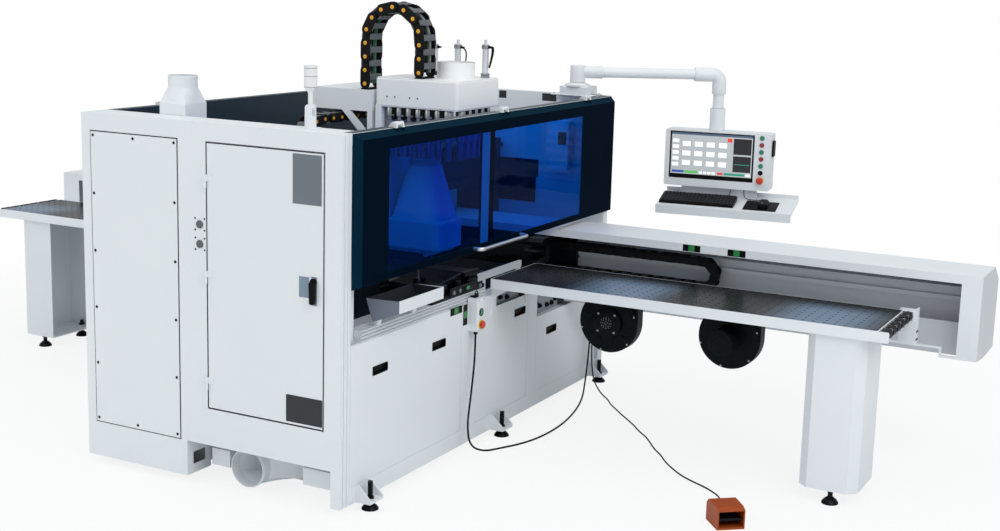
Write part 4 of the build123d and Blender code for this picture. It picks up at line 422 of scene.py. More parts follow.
# Powder coat of the chute: cool white, with its near end in slate grey, painted shade
chute_coat_painted_shade = masked_coat("powder_coat_white_with_painted_shade_end", 0.42, WHITE_SHADES, (
    (("#77808c",) * 2, (("Object", Y, UNDER, (-1161.0 - ORIGIN[1]) / 1000, 0.0),)),))

# Camera, floor and light

scene = bpy.context.scene
scene.view_settings.view_transform = "Standard"
AZIMUTH, ELEVATION, ROLL = (math.radians(v) for v in (28.10, 10.43, 1.51))
back = np.array((math.sin(AZIMUTH) * math.cos(ELEVATION), -math.cos(AZIMUTH) * math.cos(ELEVATION),
                 math.sin(ELEVATION)))
right = np.cross(-back, Z) / np.linalg.norm(np.cross(-back, Z))
upward = np.cross(right, -back)
lens = bpy.data.cameras.new("photo_camera")
lens.lens, lens.sensor_width, lens.shift_x, lens.shift_y = 52.02, 36.0, 0.0094, -0.0209
camera = bpy.data.objects.new("photo_camera", lens)
view = np.eye(4)
view[:3, :3] = np.stack((math.cos(ROLL) * right + math.sin(ROLL) * upward,
                         math.cos(ROLL) * upward - math.sin(ROLL) * right, back), 1)
view[:3, 3] = (4.191, -6.810948, 2.416)
camera.matrix_world = Matrix(view.tolist())
scene.collection.objects.link(camera)
scene.camera = camera

FLOOR_HALF = 40.0       # metres
floor_mesh = bpy.data.meshes.new("studio_floor")
floor_mesh.from_pydata([(sx * FLOOR_HALF, sy * FLOOR_HALF, 0) for sx, sy in ((-1, -1), (1, -1), (1, 1), (-1, 1))], [],
                       [(0, 1, 2, 3)])
floor = bpy.data.objects.new("studio_floor", floor_mesh)
scene.collection.objects.link(floor)
# Pale seamless paper: matt near the machine, where it keeps the shadow, and plain white further out for the eye
paper, tree, shader = surface("seamless_paper", Base_Color=linear("#f4f5f6"), Roughness=0.9)
ray = node(tree, "LightPath").outputs
seen = node(tree, "Math", {"operation": "MAXIMUM"}, n0=ray["Is Camera Ray"], n1=ray["Is Transmission Ray"])
away = node(tree, "VectorMath", {"operation": "LENGTH"}, n0=node(tree, "TexCoord").outputs["Object"])
reach = node(tree, "MapRange", SOFT, Value=away, From_Min=2.6, From_Max=6.5, To_Min=0.84)
glow = node(tree, "Emission", Color=(1.0, 1.0, 1.0, 1.0), Strength=1.0)
part_white = node(tree, "Math", TIMES, n0=seen, n1=reach)
feed(tree.nodes["Material Output"], Surface=node(tree, "MixShader", n0=part_white, n1=shader, n2=glow))
floor_mesh.materials.append(paper)

world = bpy.data.worlds.new("studio")
scene.world = world
world.use_nodes = True
tree = world.node_tree
ray = node(tree, "LightPath").outputs
seen = node(tree, "Math", {"operation": "MAXIMUM"}, n0=ray["Is Camera Ray"], n1=ray["Is Transmission Ray"])
plain = node(tree, "Background", Color=(0.94, 0.97, 1.0, 1.0), Strength=0.58)
bright = node(tree, "Background", Color=(1.0, 1.0, 1.0, 1.0), Strength=1.0)
feed(tree.nodes["World Output"], Surface=node(tree, "MixShader", n0=seen, n1=plain, n2=bright))

for name, spot, aim, size, power in (
        ("key_light", (6.5, -4.0, 6.5), (0.5, 0.0, 0.8), 5.0, 225.0),
        ("fill_light", (-5.0, -7.5, 5.0), (-0.5, -1.0, 1.0), 5.0, 136.0),
        ("top_light", (0.0, 0.0, 8.0), (0.0, 0.0, 0.0), 7.0, 130.0)):
    lamp = bpy.data.lights.new(name, "AREA")
    lamp.size, lamp.energy = size, power
    lit = bpy.data.objects.new(name, lamp)
    w = np.array(spot) - np.array(aim)
    w /= np.linalg.norm(w)
    u = np.cross(Y if abs(w[2]) > 0.9 else Z, w)
    u /= np.linalg.norm(u)
    turn = np.eye(4)
    turn[:3, :3] = np.stack((u, np.cross(w, u), w), 1)
    turn[:3, 3] = spot
    lit.matrix_world = Matrix(turn.tolist())
    scene.collection.objects.link(lit)

# Cords

def cord(name, route, width, body, node_name):
    """A round cord: the route's points are the control points of one smooth open spline of order 3."""
    curve = bpy.data.curves.new(name, "CURVE")
    curve.dimensions = "3D"
    curve.bevel_depth = width / 2000
    curve.bevel_resolution = 3
    spline = curve.splines.new("NURBS")
    points = place(route)
    spline.points.add(len(points) - 1)
    spline.points.foreach_set("co", np.column_stack((points, np.ones(len(points)))).ravel())
    spline.order_u = 3
    spline.use_endpoint_u = True
    spline.resolution_u = 8
    curve.materials.append(black_rubber)
    made = bpy.data.objects.new(name, curve)
    scene.collection.objects.link(made)
    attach(made, body)
    if node_name:
        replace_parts(made, node_name)


def turned_to(points, angle, foot):
    """Points turned by the angle about Z, then moved to the foot."""
    c, s = math.cos(angle), math.sin(angle)
    return np.asarray(points, float) @ np.array(((c, s, 0), (-s, c, 0), (0, 0, 1))) + foot


cord("hand_box_flex", [
    (780, -257.5, 620), (792, -279, 506), (804, -319, 397), (811, -354, 286), (814, -385, 173), (824, -372, 60),
    (852, -276, 8), (900, -170, 6), (951, -65, 6), (982, 47, 6), (995, 163, 6), (997, 280, 6), (989, 397, 6),
    (973, 513, 6), (950, 627, 6), (922, 740, 6), (888, 852, 6), (849, 962, 7), (808, 1069, 25), (784, 1147, 104),
    (776, 1186, 214), (775, 1198, 330)], 10.0, "machine", "hand_box_cord")
pedal_tail = tuple(turned_to((0.0, 93.0, 60.0), PEDAL_TURN, PEDAL))
cord("pedal_flex", [
    (775, 1230, 330), (776, 1227, 228), (785, 1216, 128), (815, 1186, 37), (879, 1117, 8), (941, 1034, 6),
    (1009, 962, 6), (1066, 874, 6), (1133, 801, 6), (1200, 723, 6), (1271, 650, 6), (1339, 575, 6), (1402, 493, 6),
    (1472, 423, 6), (1532, 338, 6), (1590, 252, 6), (1656, 179, 6), (1714, 91, 6), (1781, 17, 6), (1852, -55, 6),
    (1936, -112, 6), (2025, -161, 6), (2100, -225, 8), (2148, -310, 24), (2178, -400, 46), pedal_tail], 8.0,
    "machine", "pedal_cord")

CASE_TURN, TRAY_TILT = math.radians(8.0), math.radians(11.0)
CASE_LOW, CASE_FACE, CASE_BACK = 1202.0, -70.0, 70.0
TRAY_Z, TRAY_BACK = CASE_LOW - 47.0, 50.0


def on_panel(points):
    """Points of the control case's own axes, turned with the case and moved to the drop tube."""
    return turned_to(points, CASE_TURN, DROP)


def on_tray(points):
    """Points along the tray, out from the drop tube and square to the tray, tilted with it and set on the case."""
    c, s = math.cos(TRAY_TILT), math.sin(TRAY_TILT)
    return on_panel(np.asarray(points, float) @ np.array(((1, 0, 0), (0, c, s), (0, -s, c))) + (0, TRAY_BACK, TRAY_Z))


def lead_route(points):
    """Lead points with their height straight over the tray: its slope times the way out is added."""
    p = np.array(points, float)
    p[:, 2] += TRAY_Z + (p[:, 1] - TRAY_BACK) * math.tan(TRAY_TILT)
    return on_panel(p)


up_h = CASE_LOW + 1.0 - TRAY_Z - (-42.0 - TRAY_BACK) * math.tan(TRAY_TILT)
cord("keyboard_lead", lead_route([
    (-60, -59, 15), (-57, -45, 10), (-44, -36, 4), (-20, -34, 3), (6, -37, 3), (32, -34, 3), (58, -37, 3), (82, -36, 4),
    (102, -39, 12), (110, -42, 32), (111, -42, up_h)]), 4.4, "control_panel", "desk_leads")
cord("mouse_lead", lead_route([
    (330, -86, 12), (332, -70, 7), (327, -52, 3), (312, -40, 3), (288, -35, 3), (262, -37, 3), (236, -34, 3),
    (212, -38, 6), (198, -40, 17), (193, -42, 38), (192, -42, up_h)]), 4.4, "control_panel", "desk_leads")
cord("head_air_hose", [
    (406, 196, 2050), (424, 195, 2046), (438, 192, 2022), (438, 187, 1980), (430, 180, 1938), (410, 170, 1909),
    (376, 158, 1901), (342, 151, 1901), (316, 150, 1906), (300, 150, 1914)], 8.0, "upper_head", None)

# Finishes of the CAD pieces

finishes = {
    white_coat: ("front_panels", "cabinet_shell", "cabinet_door", "dust_ports", "saddle", "table_frames", "table_legs",
                 "pendant_base", "pendant_arm", "control_case", "hand_box"),
    painted_light_white_coat: ("head_cover",), base_coat_painted_shade: ("base_frame",), chute_coat_painted_shade: ("chute_tray",),
    wall_coat: ("enclosure_walls",), beam_coat_painted_shade: ("beam_cover",), grey_coat: ("electrical_gear",),
    spine_coat_painted_shade: ("clamp_spine",), slate_coat: ("bridge_beam", "lower_saddle"), navy_coat_painted_highlight: ("window_frame",),
    black_coat: ("blower_housings",), orange_enamel: ("pedal_guard",), blue_pane: ("window_glass",),
    black_deck_painted_sheen: ("table_decks",), chrome: ("window_handle",), profile_alloy: ("sill_rail", "drill_head"),
    ground_steel: ("upper_bit", "lower_bit"),
    black_steel: ("levelling_feet", "side_stop", "lower_head", "clamp_carriage_1", "clamp_carriage_2", "clamp_jaw_1",
                  "clamp_jaw_2"),
    black_nylon: ("treadle", "end_rollers", "outfeed_rollers", "z_chain", "y_chain", "x_chain", "cord_fittings"),
    black_abs: ("cabinet_lock", "key_switch", "keyboard_and_mouse", "control_screen"),
    opal_lamp: ("signal_tower",), green_button: ("push_button_1", "push_button_3", "push_button_5", "hand_start"),
    red_button: ("push_button_2", "push_button_4"), stop_red: ("emergency_stop", "hand_stop"),
    black_rubber: ("hand_box_cord", "pedal_cord", "desk_leads"),
}
for finish, names in finishes.items():
    for name in names:
        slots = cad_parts[name].data.materials
        slots.clear()
        slots.append(finish)

# Shared small pieces

def pan_head(radius, height=None):
    """Rings of a screw's head: a short wall under a low dome, by radius and height pairs."""
    h = height or radius * 0.5
    return turned([(radius, 0), (radius, 0.45 * h), (0.8 * radius, 0.85 * h), (0.45 * radius, h)], 10)


def seam(low, high, axis, face, out, width=5, thick=1.2):
    """Four strips just inside a rectangle square to an axis: low and high are its corners along the other two axes,
    and the strips stand off its face to the out side."""
    (a, b), (c, d) = low, high
    near, off = sorted((face, face + out * thick))
    lows = np.array(((a, b), (a, d - width), (a, b + width), (c - width, b + width)), float)
    highs = np.array(((c, b + width), (c, d), (a + width, d - width), (c, d - width)), float)
    return bars(np.insert(lows, axis, near, axis=1), np.insert(highs, axis, off, axis=1), 0.3)


# Cabinet side: seals, screws, caps and bare plates

piece("cover_seal", [seam((-695, 215), (-160, 1658), 1, NEAR_Y, -1)], black_rubber)
piece("door_seal", [seam((5.2, 397.2), (659.8, 1652.8), 1, NEAR_Y, -1, 4.5, 0.9)], black_rubber, "cabinet_leaf")
rows = np.linspace(238, 1635, 6)
cover_screws = [(x, NEAR_Y - 3, z) for x in (-675, -180) for z in rows]
cover_screws += [(-427, NEAR_Y - 3, z) for z in rows[[0, -1]]]
piece("cover_screws", [at(pan_head(7), cover_screws, NEAR)], black_steel)
cap = turned([(19, 0), (19, 5), (16, 8), (7, 9)], 20)
caps = np.array(((-34, NEAR_Y, 1269), (-34, NEAR_Y, 1177)))
piece("cable_caps", [at(cap, caps, NEAR)], grey_abs)
corners = np.array([(sx * 27, 0, sz * 27) for sx in (-1, 1) for sz in (-1, 1)])
piece("cap_screws", [at(pan_head(4.5), (caps[:, None] + corners).reshape(-1, 3), NEAR)], black_steel)
block("rating_plate", (490, -1441.4, 1418), (645, NEAR_Y, 1640), 0.5, slate_plate, "cabinet_leaf")
block("lock_plates", [(525, -1441.4, 1000), (590, -1440.8, 968)], [(579, NEAR_Y, 1094), (622, NEAR_Y, 1098)], 0.3,
      blue_plate, "cabinet_leaf")
block("notice_plate", (454, -1441.4, 412), (653, NEAR_Y, 539), 0.5, dark_plate, "cabinet_leaf")

# Front: pulls, tags and plates in the notches

pulls = np.array([(FRONT_X, y, z) for y, z in ((-1114, 627.5), (-576, 627.5), (300, 627.5), (703, 447.5))])
recess = [(-15.4, 4), (-1.2, 3.4), (-1.2, 0), (1.4, 0.4), (1.4, 4.4), (-14.2, 6)]
piece("panel_pull_inserts", [at(plates(rounded(131, 43, 8), recess), pulls, OUT)], black_abs)
lips = [bars(pulls + (-15, -69.4, low), pulls + (-1, 69.4, low + 21.4), 0.6) for low in (21.6, -43)]
piece("panel_pull_lips", lips, white_coat)
block("panel_tags", [(FRONT_X, -470, 748), (FRONT_X, -338, 674)], [(751, -350, 786), (751, -294, 782)], 0.3, black_abs)
block("panel_tag_films", [(750.8, -430, 752), (750.8, -332, 711)], [(751.6, -390, 782), (751.6, -300, 746)], 0.2,
      green_film)
block("notch_plates", [(728, 18, 700), (712, 516, 555)], [(731, 394, 777), (716, 840, 666)], 0.6, grey_plate)
knobs = [(731, y, z) for y, z in ((88, 745), (166, 733), (330, 722))]
knobs += [(716, y, z) for y, z in ((553, 624), (600, 600), (693, 590), (754, 590), (800, 606))]
fitting = turned([(15, 0), (15, 9), (9, 12), (9, 18), (6, 20)], 12)
piece("notch_fittings", [at(fitting, knobs, OUT)], black_nylon)

# Dark sheet inside the chute, painted shade, and the side stop's face

trough = np.array([(706.6, 966), (739.6, 862), (873.2, 914.6), (873.2, 964), (871.8, 964), (871.8, 915.8),
                   (740.4, 864.2), (708.4, 966)])
shade_sheet = np.stack([np.insert(trough, 1, y, axis=1) for y in (-1161, -768.5)])
cheek = np.stack([np.insert(trough[:4], 1, y, axis=1) for y in (-768.4, -766.8)])
piece("chute_shade_sheet", [shade_sheet, cheek], slate_sheet_and_painted_shade)
STOP_X = 748      # front of the side stop
block("stop_face", [(744.2, -472, 842), (744.2, -200, 836)], [(STOP_X, -200, 890), (STOP_X, -136, 876)], 1.2,
      black_steel, "stop_slider")
oval = plates(rounded(104, 27, 13), [(0, 0), (0.8, 0), (1.2, 0.6)])
piece("stop_tag", [at(oval, (STOP_X, -290, 866), OUT)], black_abs, "stop_slider")
block("stop_tag_film", (749.1, -305, 857), (749.6, -275, 875), 0.2, green_film, "stop_slider")
cap_nut = turned([(11, 0), (11, 8), (6, 11)], 6)
nut_places = [(STOP_X, -440, 866), (STOP_X, -380, 866), (STOP_X, -170, 856)]
piece("stop_nuts", [at(cap_nut, nut_places, OUT)], zinc, "stop_slider")

# Hand box: collars of its buttons, hook and screws

BOX_X, BOX_Y = 810, -257.5        # face and middle of the hand box
piece("hand_start_collar", [at(hoops(15.5, 20, -1, 4), (BOX_X, BOX_Y, 739), OUT)], black_abs)
piece("hand_stop_collar", [at(hoops(13.5, 25, -1, 2), (BOX_X, BOX_Y, 675), OUT)], yellow_abs)
loop = np.linspace(0, math.pi, 13)
hook = spots(780, BOX_Y + 20 * np.cos(loop), 811 + 36 * np.sin(loop))
piece("hand_box_hook", [tubes(hook, 3, 8, X)], black_steel)
box_screws = [(BOX_X, y, z) for y in (-283, -232) for z in (647, 805)]
piece("hand_box_screws", [at(pan_head(3.5), box_screws, OUT)], zinc)

# Energy chains

def looped(radius, count, leads):
    """Pivots (across, along) at equal steps of a path: one straight lead out, half a circle, the other lead back."""
    first, bend = leads[0], math.pi * radius
    s = (first + bend + leads[1]) * np.arange(count + 1) / count
    a = np.clip((s - first) / radius, 0, math.pi)
    return radius - radius * np.cos(a), np.minimum(s, first) + radius * np.sin(a) - np.maximum(s - first - bend, 0)


RINGS_PER_LINK = 6      # of a cable
# Section of a cross bar: along the link and out of it
BAR_SECTION = np.array(((-16, -1.75), (-11.2, -3.5), (11.2, -3.5), (16, -1.75), (16, 1.75), (11.2, 3.5),
                        (-11.2, 3.5), (-16, 1.75)))


def chain(node_name, pivots, side, start, width, height, plate, stretches, cables, pins, rungs):
    """An energy chain along pivots (n, 3): on each link two round-ended side plates, every second pair set inside its
    neighbours, two cross bars, a pin at each pivot, and smooth cables through all links. Side is the axis across it.
    A cable is its share of the width, its way off the middle line, its radius and its finish.
    Each stretch (first pivot, last pivot, axis) makes its own set of pieces from those links; its axis is not used."""
    p = np.asarray(pivots, float)
    along = np.diff(p, axis=0)
    length = np.linalg.norm(along, axis=1)
    along /= length[:, None]
    over = np.cross(np.broadcast_to(side, along.shape), along)
    axes = np.stack((along, over, np.broadcast_to(side, along.shape)), 1)
    middle = ((p[:-1] + p[1:]) / 2)[:, None, None, None]
    a = np.linspace(-math.pi / 2, math.pi / 2, 7)
    round_end = np.stack((np.cos(a), np.sin(a)), -1) * height / 2
    slim = round_end * (1 - 2.2 / height)
    gap = (length.mean() / 2, 0)
    levels = ((0, slim), (1.1, round_end), (plate - 1.1, round_end), (plate, slim))
    rings = np.array([np.insert(np.concatenate((end + gap, -end - gap)), 2, h, axis=1) for h, end in levels])
    inset = (np.arange(len(length)) % 2) * (plate + 0.3)
    depths = np.stack((start + inset, start + width - inset - plate), 1)
    sides = rings[None, None] + depths[:, :, None, None, None] * Z
    sides = np.einsum("lknmi,lij->lknmj", sides, axes) + middle

    ends = [np.insert(BAR_SECTION, 2, depth, axis=1) for depth in (start + plate, start + width - plate)]
    cross = np.array(ends)[None] + np.array((-1, 1))[:, None, None, None] * (height / 2 - 3.4) * Y
    cross = np.einsum("knmi,lij->lknmj", cross, axes) + middle

    pin = turned([(height * 0.19, 0), (height * 0.19, 1.2), (height * 0.15, 1.8)], 12)
    discs = np.stack((at(pin, p + start * side, -side), at(pin, p + (start + width) * side, side)), 1)

    smooth = eased(p, RINGS_PER_LINK * len(length) + 1)
    strands = []
    for share, drop, radius, finish in cables:
        route = smooth + (start + share * width) * side
        lean = np.gradient(route, axis=0)
        lean = np.cross(np.broadcast_to(side, lean.shape), lean)
        route = route + drop * lean / np.linalg.norm(lean, axis=1)[:, None]
        strands.append((tubes(route, radius, 8, side), finish))

    for number, (first, last, axis) in enumerate(stretches):
        tail = f"_{number + 1}" if len(stretches) > 1 else ""
        pin_last = last + (last == len(length))
        made = [piece(f"{node_name}_plates{tail}", [sides[first:last].reshape(-1, 4, 14, 3)], black_nylon, None,
                      angle=30),
                piece(f"{node_name}_bars{tail}", [cross[first:last].reshape(-1, 2, 8, 3)], rungs, None),
                piece(f"{node_name}_pins{tail}", [discs[first:pin_last].reshape(-1, *pin.shape)], pins, None)]
        for order, (strand, finish) in enumerate(strands):
            rings_here = strand[RINGS_PER_LINK * first:RINGS_PER_LINK * last + 1]
            made.append(piece(f"{node_name}_cable_{order + 1}{tail}", [rings_here], finish, None))
        for one in made:
            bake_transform(one)
            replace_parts(one, node_name)


# Cables of the head's chain
bundle = [(0.17, -6, 9, grey_rubber), (0.33, 4, 7, grey_rubber), (0.49, -3, 9, black_rubber),
          (0.66, 5, 6.5, green_rubber), (0.82, -4, 8, grey_rubber)]
across, along_z = looped(165, 13, (239, 166))
chain("z_chain", spots(30 + across, 0, 1854 + along_z), Y, start=-170, width=125, height=58, plate=8,
      stretches=[(0, 13, X)], cables=bundle,
      pins=amber_pin, rungs=grey_abs)
block("arch_foot_saddle", (6, -170, 1823), (54, -45, 1831), 1, black_nylon, "upper_saddle")
block("arch_foot_head", (336, -170, HEAD_TOP), (384, -45, 1904), 1, black_nylon, "upper_head")

across, along_y = looped(100, 12, (196, 423))
chain("y_chain", spots(0, -180 - along_y, 1470 + across), X, start=-200, width=100, height=50,
      plate=7, stretches=[(0, 3, Y), (3, 7, Z), (7, 12, Y)],
      cables=[(0.25, 0, 8, black_rubber), (0.5, 2, 9, grey_rubber), (0.75, 0, 8, black_rubber)],
      pins=amber_pin, rungs=grey_abs)

across, along_x = looped(70, 40, (1000, 1340))
chain("x_chain", spots(590 + along_x, 0, 910 - across), Y, start=850, width=62, height=46, plate=6,
      stretches=[(0, 16, X), (16, 19, Z), (19, 40, X)],
      cables=[(0.32, 0, 8, black_rubber), (0.68, 0, 8, grey_rubber)], pins=black_nylon, rungs=black_abs)
block("bridge_chain_foot", (-200, -200, 1440), (-100, -160, 1462), 1, black_nylon)

# Drilling head: screws, spindle sleeves, valves and cylinder fittings

cover_dots = [(x, -180, 1796) for x in (176, 224, 314, 361)]
piece("head_cover_screws", [at(pan_head(4.5, 1.6), cover_dots, NEAR)], black_steel, "upper_head")
block("head_leg", (103, -180, 1480), (141, -133, 1752), 3, white_coat, "upper_head")
near_row = spots(178 + 58 * np.arange(7), -140, HEAD_LOW)
front_row = spots(560, -74 + 68 * np.arange(5), HEAD_LOW)
sleeve = turned([(13, -262), (17, -256), (17, -170), (25, -165), (25, -72), (20, -68),
                 (20, -52), (26, -48), (26, -12), (22, 0)], 18)
piece("spindle_sleeves", [at(sleeve, np.concatenate((near_row, front_row)))], ground_steel, "upper_head")
blocks = np.concatenate((near_row[:-1] + (29, -14, 0), front_row[:-1] + (14, 34, 0)))
block("spindle_valves", blocks - (11, 11, 64), blocks + (11, 11, 0), 1.5, black_nylon, "upper_head")
stub = turned([(5, -8), (5, 4), (3.2, 5), (3.2, 16)], 10)
piece("valve_fittings", [at(stub, blocks[:6] + (0, -11, -44), NEAR)], zinc, "upper_head")
tops = np.array(((238, 200, 2084), (381, 200, 2090), (550, 200, 2095)))
feet = tops * (1, 1, 0) + (0, 0, HEAD_TOP)
collars = [at(hoops(17.2, 21.5, -46, -26, 1.5), tops), at(hoops(17.2, 27, 0, 12, 2, 6), feet),
           at(hoops(17.2, 24, 12, 24, 3), feet)]
piece("cylinder_collars", collars, zinc, "upper_head")
plug = turned([(7, 0), (7, 9), (5, 11), (5, 20)], 10)
side_ports = [(259, 196, 2046), (402, 196, 2050), (571, 196, 2058)]
top_ports = [(262, 182, HEAD_TOP), (300, 150, HEAD_TOP)]
piece("air_fittings", [at(plug, side_ports, X), at(plug, top_ports)], black_nylon, "upper_head")
sensor = eased([(586, 196, 2058), (596, 196, 2056), (594, 196, 2020), (574, 200, 1950)], 16)
piece("position_sensor", [tubes(sensor, np.linspace(8, 5, 16), 10, Y)], black_nylon, "upper_head")

# Dust hood of the drilling head: a skirt round the gear block drawn up to a ribbed duct

HOOD_X, HOOD_Y, HOOD_TOP = 280, 48, 1424
skirt = [np.insert(rounded(w, d, r, 6) + (HOOD_X, HOOD_Y), 2, z, axis=1) for w, d, r, z in (
    (330, 262, 24, 985), (330, 262, 24, 1128), (300, 240, 40, 1140),
    (190, 180, 80, 1392), (176, 176, 87, HOOD_TOP))]
piece("head_hood", [np.array(skirt)], white_coat, "upper_head")
rib = np.arange(60)
duct = turned(np.column_stack((84 + 4 * np.cos(rib * math.pi / 2), HOOD_TOP + rib * 318 / 59)), 28)
piece("head_duct", [at(duct, (HOOD_X, HOOD_Y, 0))], duct_vinyl, "upper_head")

# Inner face of the far wall: rubber apron over the beam, a slate plate and a junction box with its window

block("wall_apron", (-245, FAR_INNER - 5, 1056), (285, FAR_INNER, 1216), 1, black_rubber)
block("wall_plate", (-45, FAR_INNER - 4, 1216), (300, FAR_INNER, 1322), 1, slate_sheet_and_painted_shade)
box = plates(rounded(150, 312, 22, 5), [(0, 0), (56, 0), (60, 4)])
piece("junction_box", [at(box, (451, FAR_INNER, 1428), NEAR)], painted_light_white_coat)
block("junction_window", (456, FAR_INNER - 61.5, 1434), (512, FAR_INNER - 60, 1512), 0.4, dark_plate)
slot_from, slot_to = np.array((12, 311)), np.array((63, 408))
block("wall_slot_plates", spots(slot_from, FAR_INNER + 1, 1688), spots(slot_to, FAR_INNER + 4, 1734), 0.3,
      dark_plate)
block("wall_slot_caps", spots(slot_from, FAR_INNER, 1734), spots(slot_to, FAR_Y, TOP_Z), 0.5, white_coat)

# Strip between the two sheets of the pane, its opaque blue painted light where the stiffener behind would show lit

block("pane_strip_painted_light", (786, -245, 1091), (788.4, -165, 1654), 0.6, painted_light_strip, "window_door")

# Control panel: display, bezels, socket cover, arm, keys and mat

GLASS = -71.4           # front of the display's glass along the case's own Y
GLOW = 0.55             # how strongly the display's film sends out its own tone
BUTTON_X = 290          # the row of buttons along the case's own X


def shown(name, tone):
    """A field of the lit display: the tone of its film, and the same tone sent out."""
    made = moulded(name, tone, 0.22, 0.0015, 0.01, 0.5)
    lit_film = made.node_tree.nodes["Principled BSDF"]
    lit_film.inputs["Emission Color"].default_value = linear(tone)
    lit_film.inputs["Emission Strength"].default_value = GLOW
    return made


def fields(x0, x1, z0, z1, depth=0.4):
    """Blocks of the display between corners, standing depth off its glass."""
    return on_panel(bars(spots(x0, GLASS - depth, z0), spots(x1, GLASS + 0.1, z1), 0.05))


tile_x, tile_z = (g.ravel() for g in np.meshgrid(-190 + 74 * np.arange(4), 1330 + 58 * np.arange(3)))
tab_z = 1322 + 36 * np.arange(5)
foot_x = -82 + 26 * np.arange(4)
foot_row = (1283, 1297)
# Lit liquid crystal display: pale grey field, white keys, slate heading, black graphs, a coloured foot row
for name, tone, shapes in (
        ("field", "#a9adaf", [fields(-258, 236, 1276, 1528, 0.2)]),
        ("heading", "#46566a", [fields(-258, 236, 1515, 1528)]),
        ("keys", "#f2f3f4", [fields(tile_x, tile_x + 50, tile_z, tile_z + 30), fields(-250, -212, tab_z, tab_z + 22),
                             fields(foot_x, foot_x + 20, *foot_row), fields(202, 230, *foot_row)]),
        ("graphs", "#0a0b0d", [fields(122, 230, 1412, 1508), fields(122, 230, 1306, 1402)]),
        ("blue", "#1d4a9e", [fields(-250, -176, *foot_row)]),
        ("green", "#46b848", [fields(-172, -92, *foot_row)]),
        ("red", "#d8331f", [fields(30, 64, *foot_row), fields(84, 112, 1484, 1506)]),
        ("teal", "#158a6c", [fields(70, 196, *foot_row), fields(130, 222, 1350, 1354, 0.6)])):
    piece("display_" + name, shapes, shown("lcd_" + name, tone), "control_panel")

button_z = (1520, 1478, 1436, 1394, 1352, 1311)
bezels = at(hoops(11.4, 15, -0.5, 2.6), spots(BUTTON_X, CASE_FACE, button_z), NEAR)
piece("button_bezels", [on_panel(bezels)], zinc, "control_panel")
guard = at(hoops(11.4, 22, -0.5, 1.6), (BUTTON_X, CASE_FACE, 1265), NEAR)
piece("stop_collar", [on_panel(guard)], yellow_abs, "control_panel")
lid = plates(rounded(66, 96, 6), [(-0.5, 0), (9, 0), (12, 3)])
piece("socket_cover", [on_panel(at(lid, (345, 0, 1455), OUT))], black_abs, "control_panel")
piece("drop_collar", [at(hoops(46.2, 49.5, 0, 9, 1.5), DROP + 1548 * Z)], white_coat, "control_panel")
piece("arm_collar", [at(hoops(32.6, 35.5, 0, 9, 1.5), DROP + 1684 * Z)], white_coat, "swing_arm")


def pipe(stations, sides=28):
    """Rings of a pipe in the arm's upright plane: at each station (way along, height, tilt of its axis from upright,
    radius) the ring is the centre + r (cos a . side + sin a . (cos tilt . along - sin tilt . Z))."""
    way, height, tilt, r = (v[:, None, None] for v in np.array(stations, float).T)
    a = np.arange(sides)[:, None] * 2 * math.pi / sides
    round_axis = np.cos(a) * np.cross(ARM_WAY, Z) + np.sin(a) * (np.cos(tilt) * ARM_WAY - np.sin(tilt) * Z)
    return HUB + way * ARM_WAY + height * Z + r * round_axis


LEVEL, DOWN, ELBOW = math.pi / 2, math.pi, 48     # tilts of the arm and of its drop, radius between them
bend = np.linspace(0, math.pi / 2, 9)
level_run = [(way, ARM_Z, LEVEL, r) for way, r in (
    (20, 37), (146, 37), (150, 35), (150.5, 30.5), (708.5, 30.5), (709, 40), (713, 42))]
elbow = np.column_stack((ARM_LENGTH - ELBOW + ELBOW * np.sin(bend), ARM_Z - ELBOW + ELBOW * np.cos(bend), LEVEL + bend,
                         np.full(9, 42)))
drop_run = [(ARM_LENGTH, z, DOWN, r) for z, r in (
    (1768, 42), (1764, 40), (1763.5, 32.5), (1681, 32.5), (1680, 31.5), (1679.8, 19.5), (1622, 19.5))]
post = turned([(20.8, 1852), (20.8, 1820), (43, 1820), (46, 1823), (46, 1914), (44, 1919), (38, 1921)], 32)
arm = piece("pendant_pipe", [pipe([*level_run, *elbow, *drop_run]), at(post, HUB)], white_coat, "swing_arm")
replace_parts(arm, "pendant_arm")
footing = bars([(430, 1250, 1740.2), (430, 1340.2, 1706), (486, 1256, 1747)],
               [(690, 1436, 1748), (690, 1379.8, 1748), (656, 1430, 1796)], 3)
socket = turned([(74, 1795), (74, 1806), (70, 1810), (50, 1810), (50, 1818.6), (19.5, 1818.8), (19.5, 1845)], 32)
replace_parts(piece("pendant_stand", [footing, at(socket, HUB)], white_coat), "pendant_base")
stand_bolts = [(x, y, 1748) for x in (446, 674) for y in (1268, 1418)]
piece("stand_bolts", [at(pan_head(7), stand_bolts)], zinc)

key_x, key_row = (g.ravel() for g in np.meshgrid(np.arange(20), np.arange(6)))
key_y = -247 + 22.4 * key_row
keys = spots(-284 + 22 * key_x, key_y, 17.3 + (key_y + 250) * 0.082)
piece("keyboard_keys", [on_tray(bars(keys, keys + (19, 19.6, 5), 1.6))], key_abs, "control_panel")
mat = plates(rounded(196, 168, 5), [(0.1, 0), (1.6, 0), (2.2, 0.8)]) + (316, -182, 0)
piece("mouse_mat", [on_tray(mat)], black_rubber, "control_panel")
wheel = turned([(8, -4), (9, -3), (9, 3), (8, 4)], 14)
piece("mouse_wheel", [on_tray(at(wheel, (330, -222, 29), X))], grey_abs, "control_panel")

# Clamp beam and tables: tags, dividers of the end rollers and bracket screws

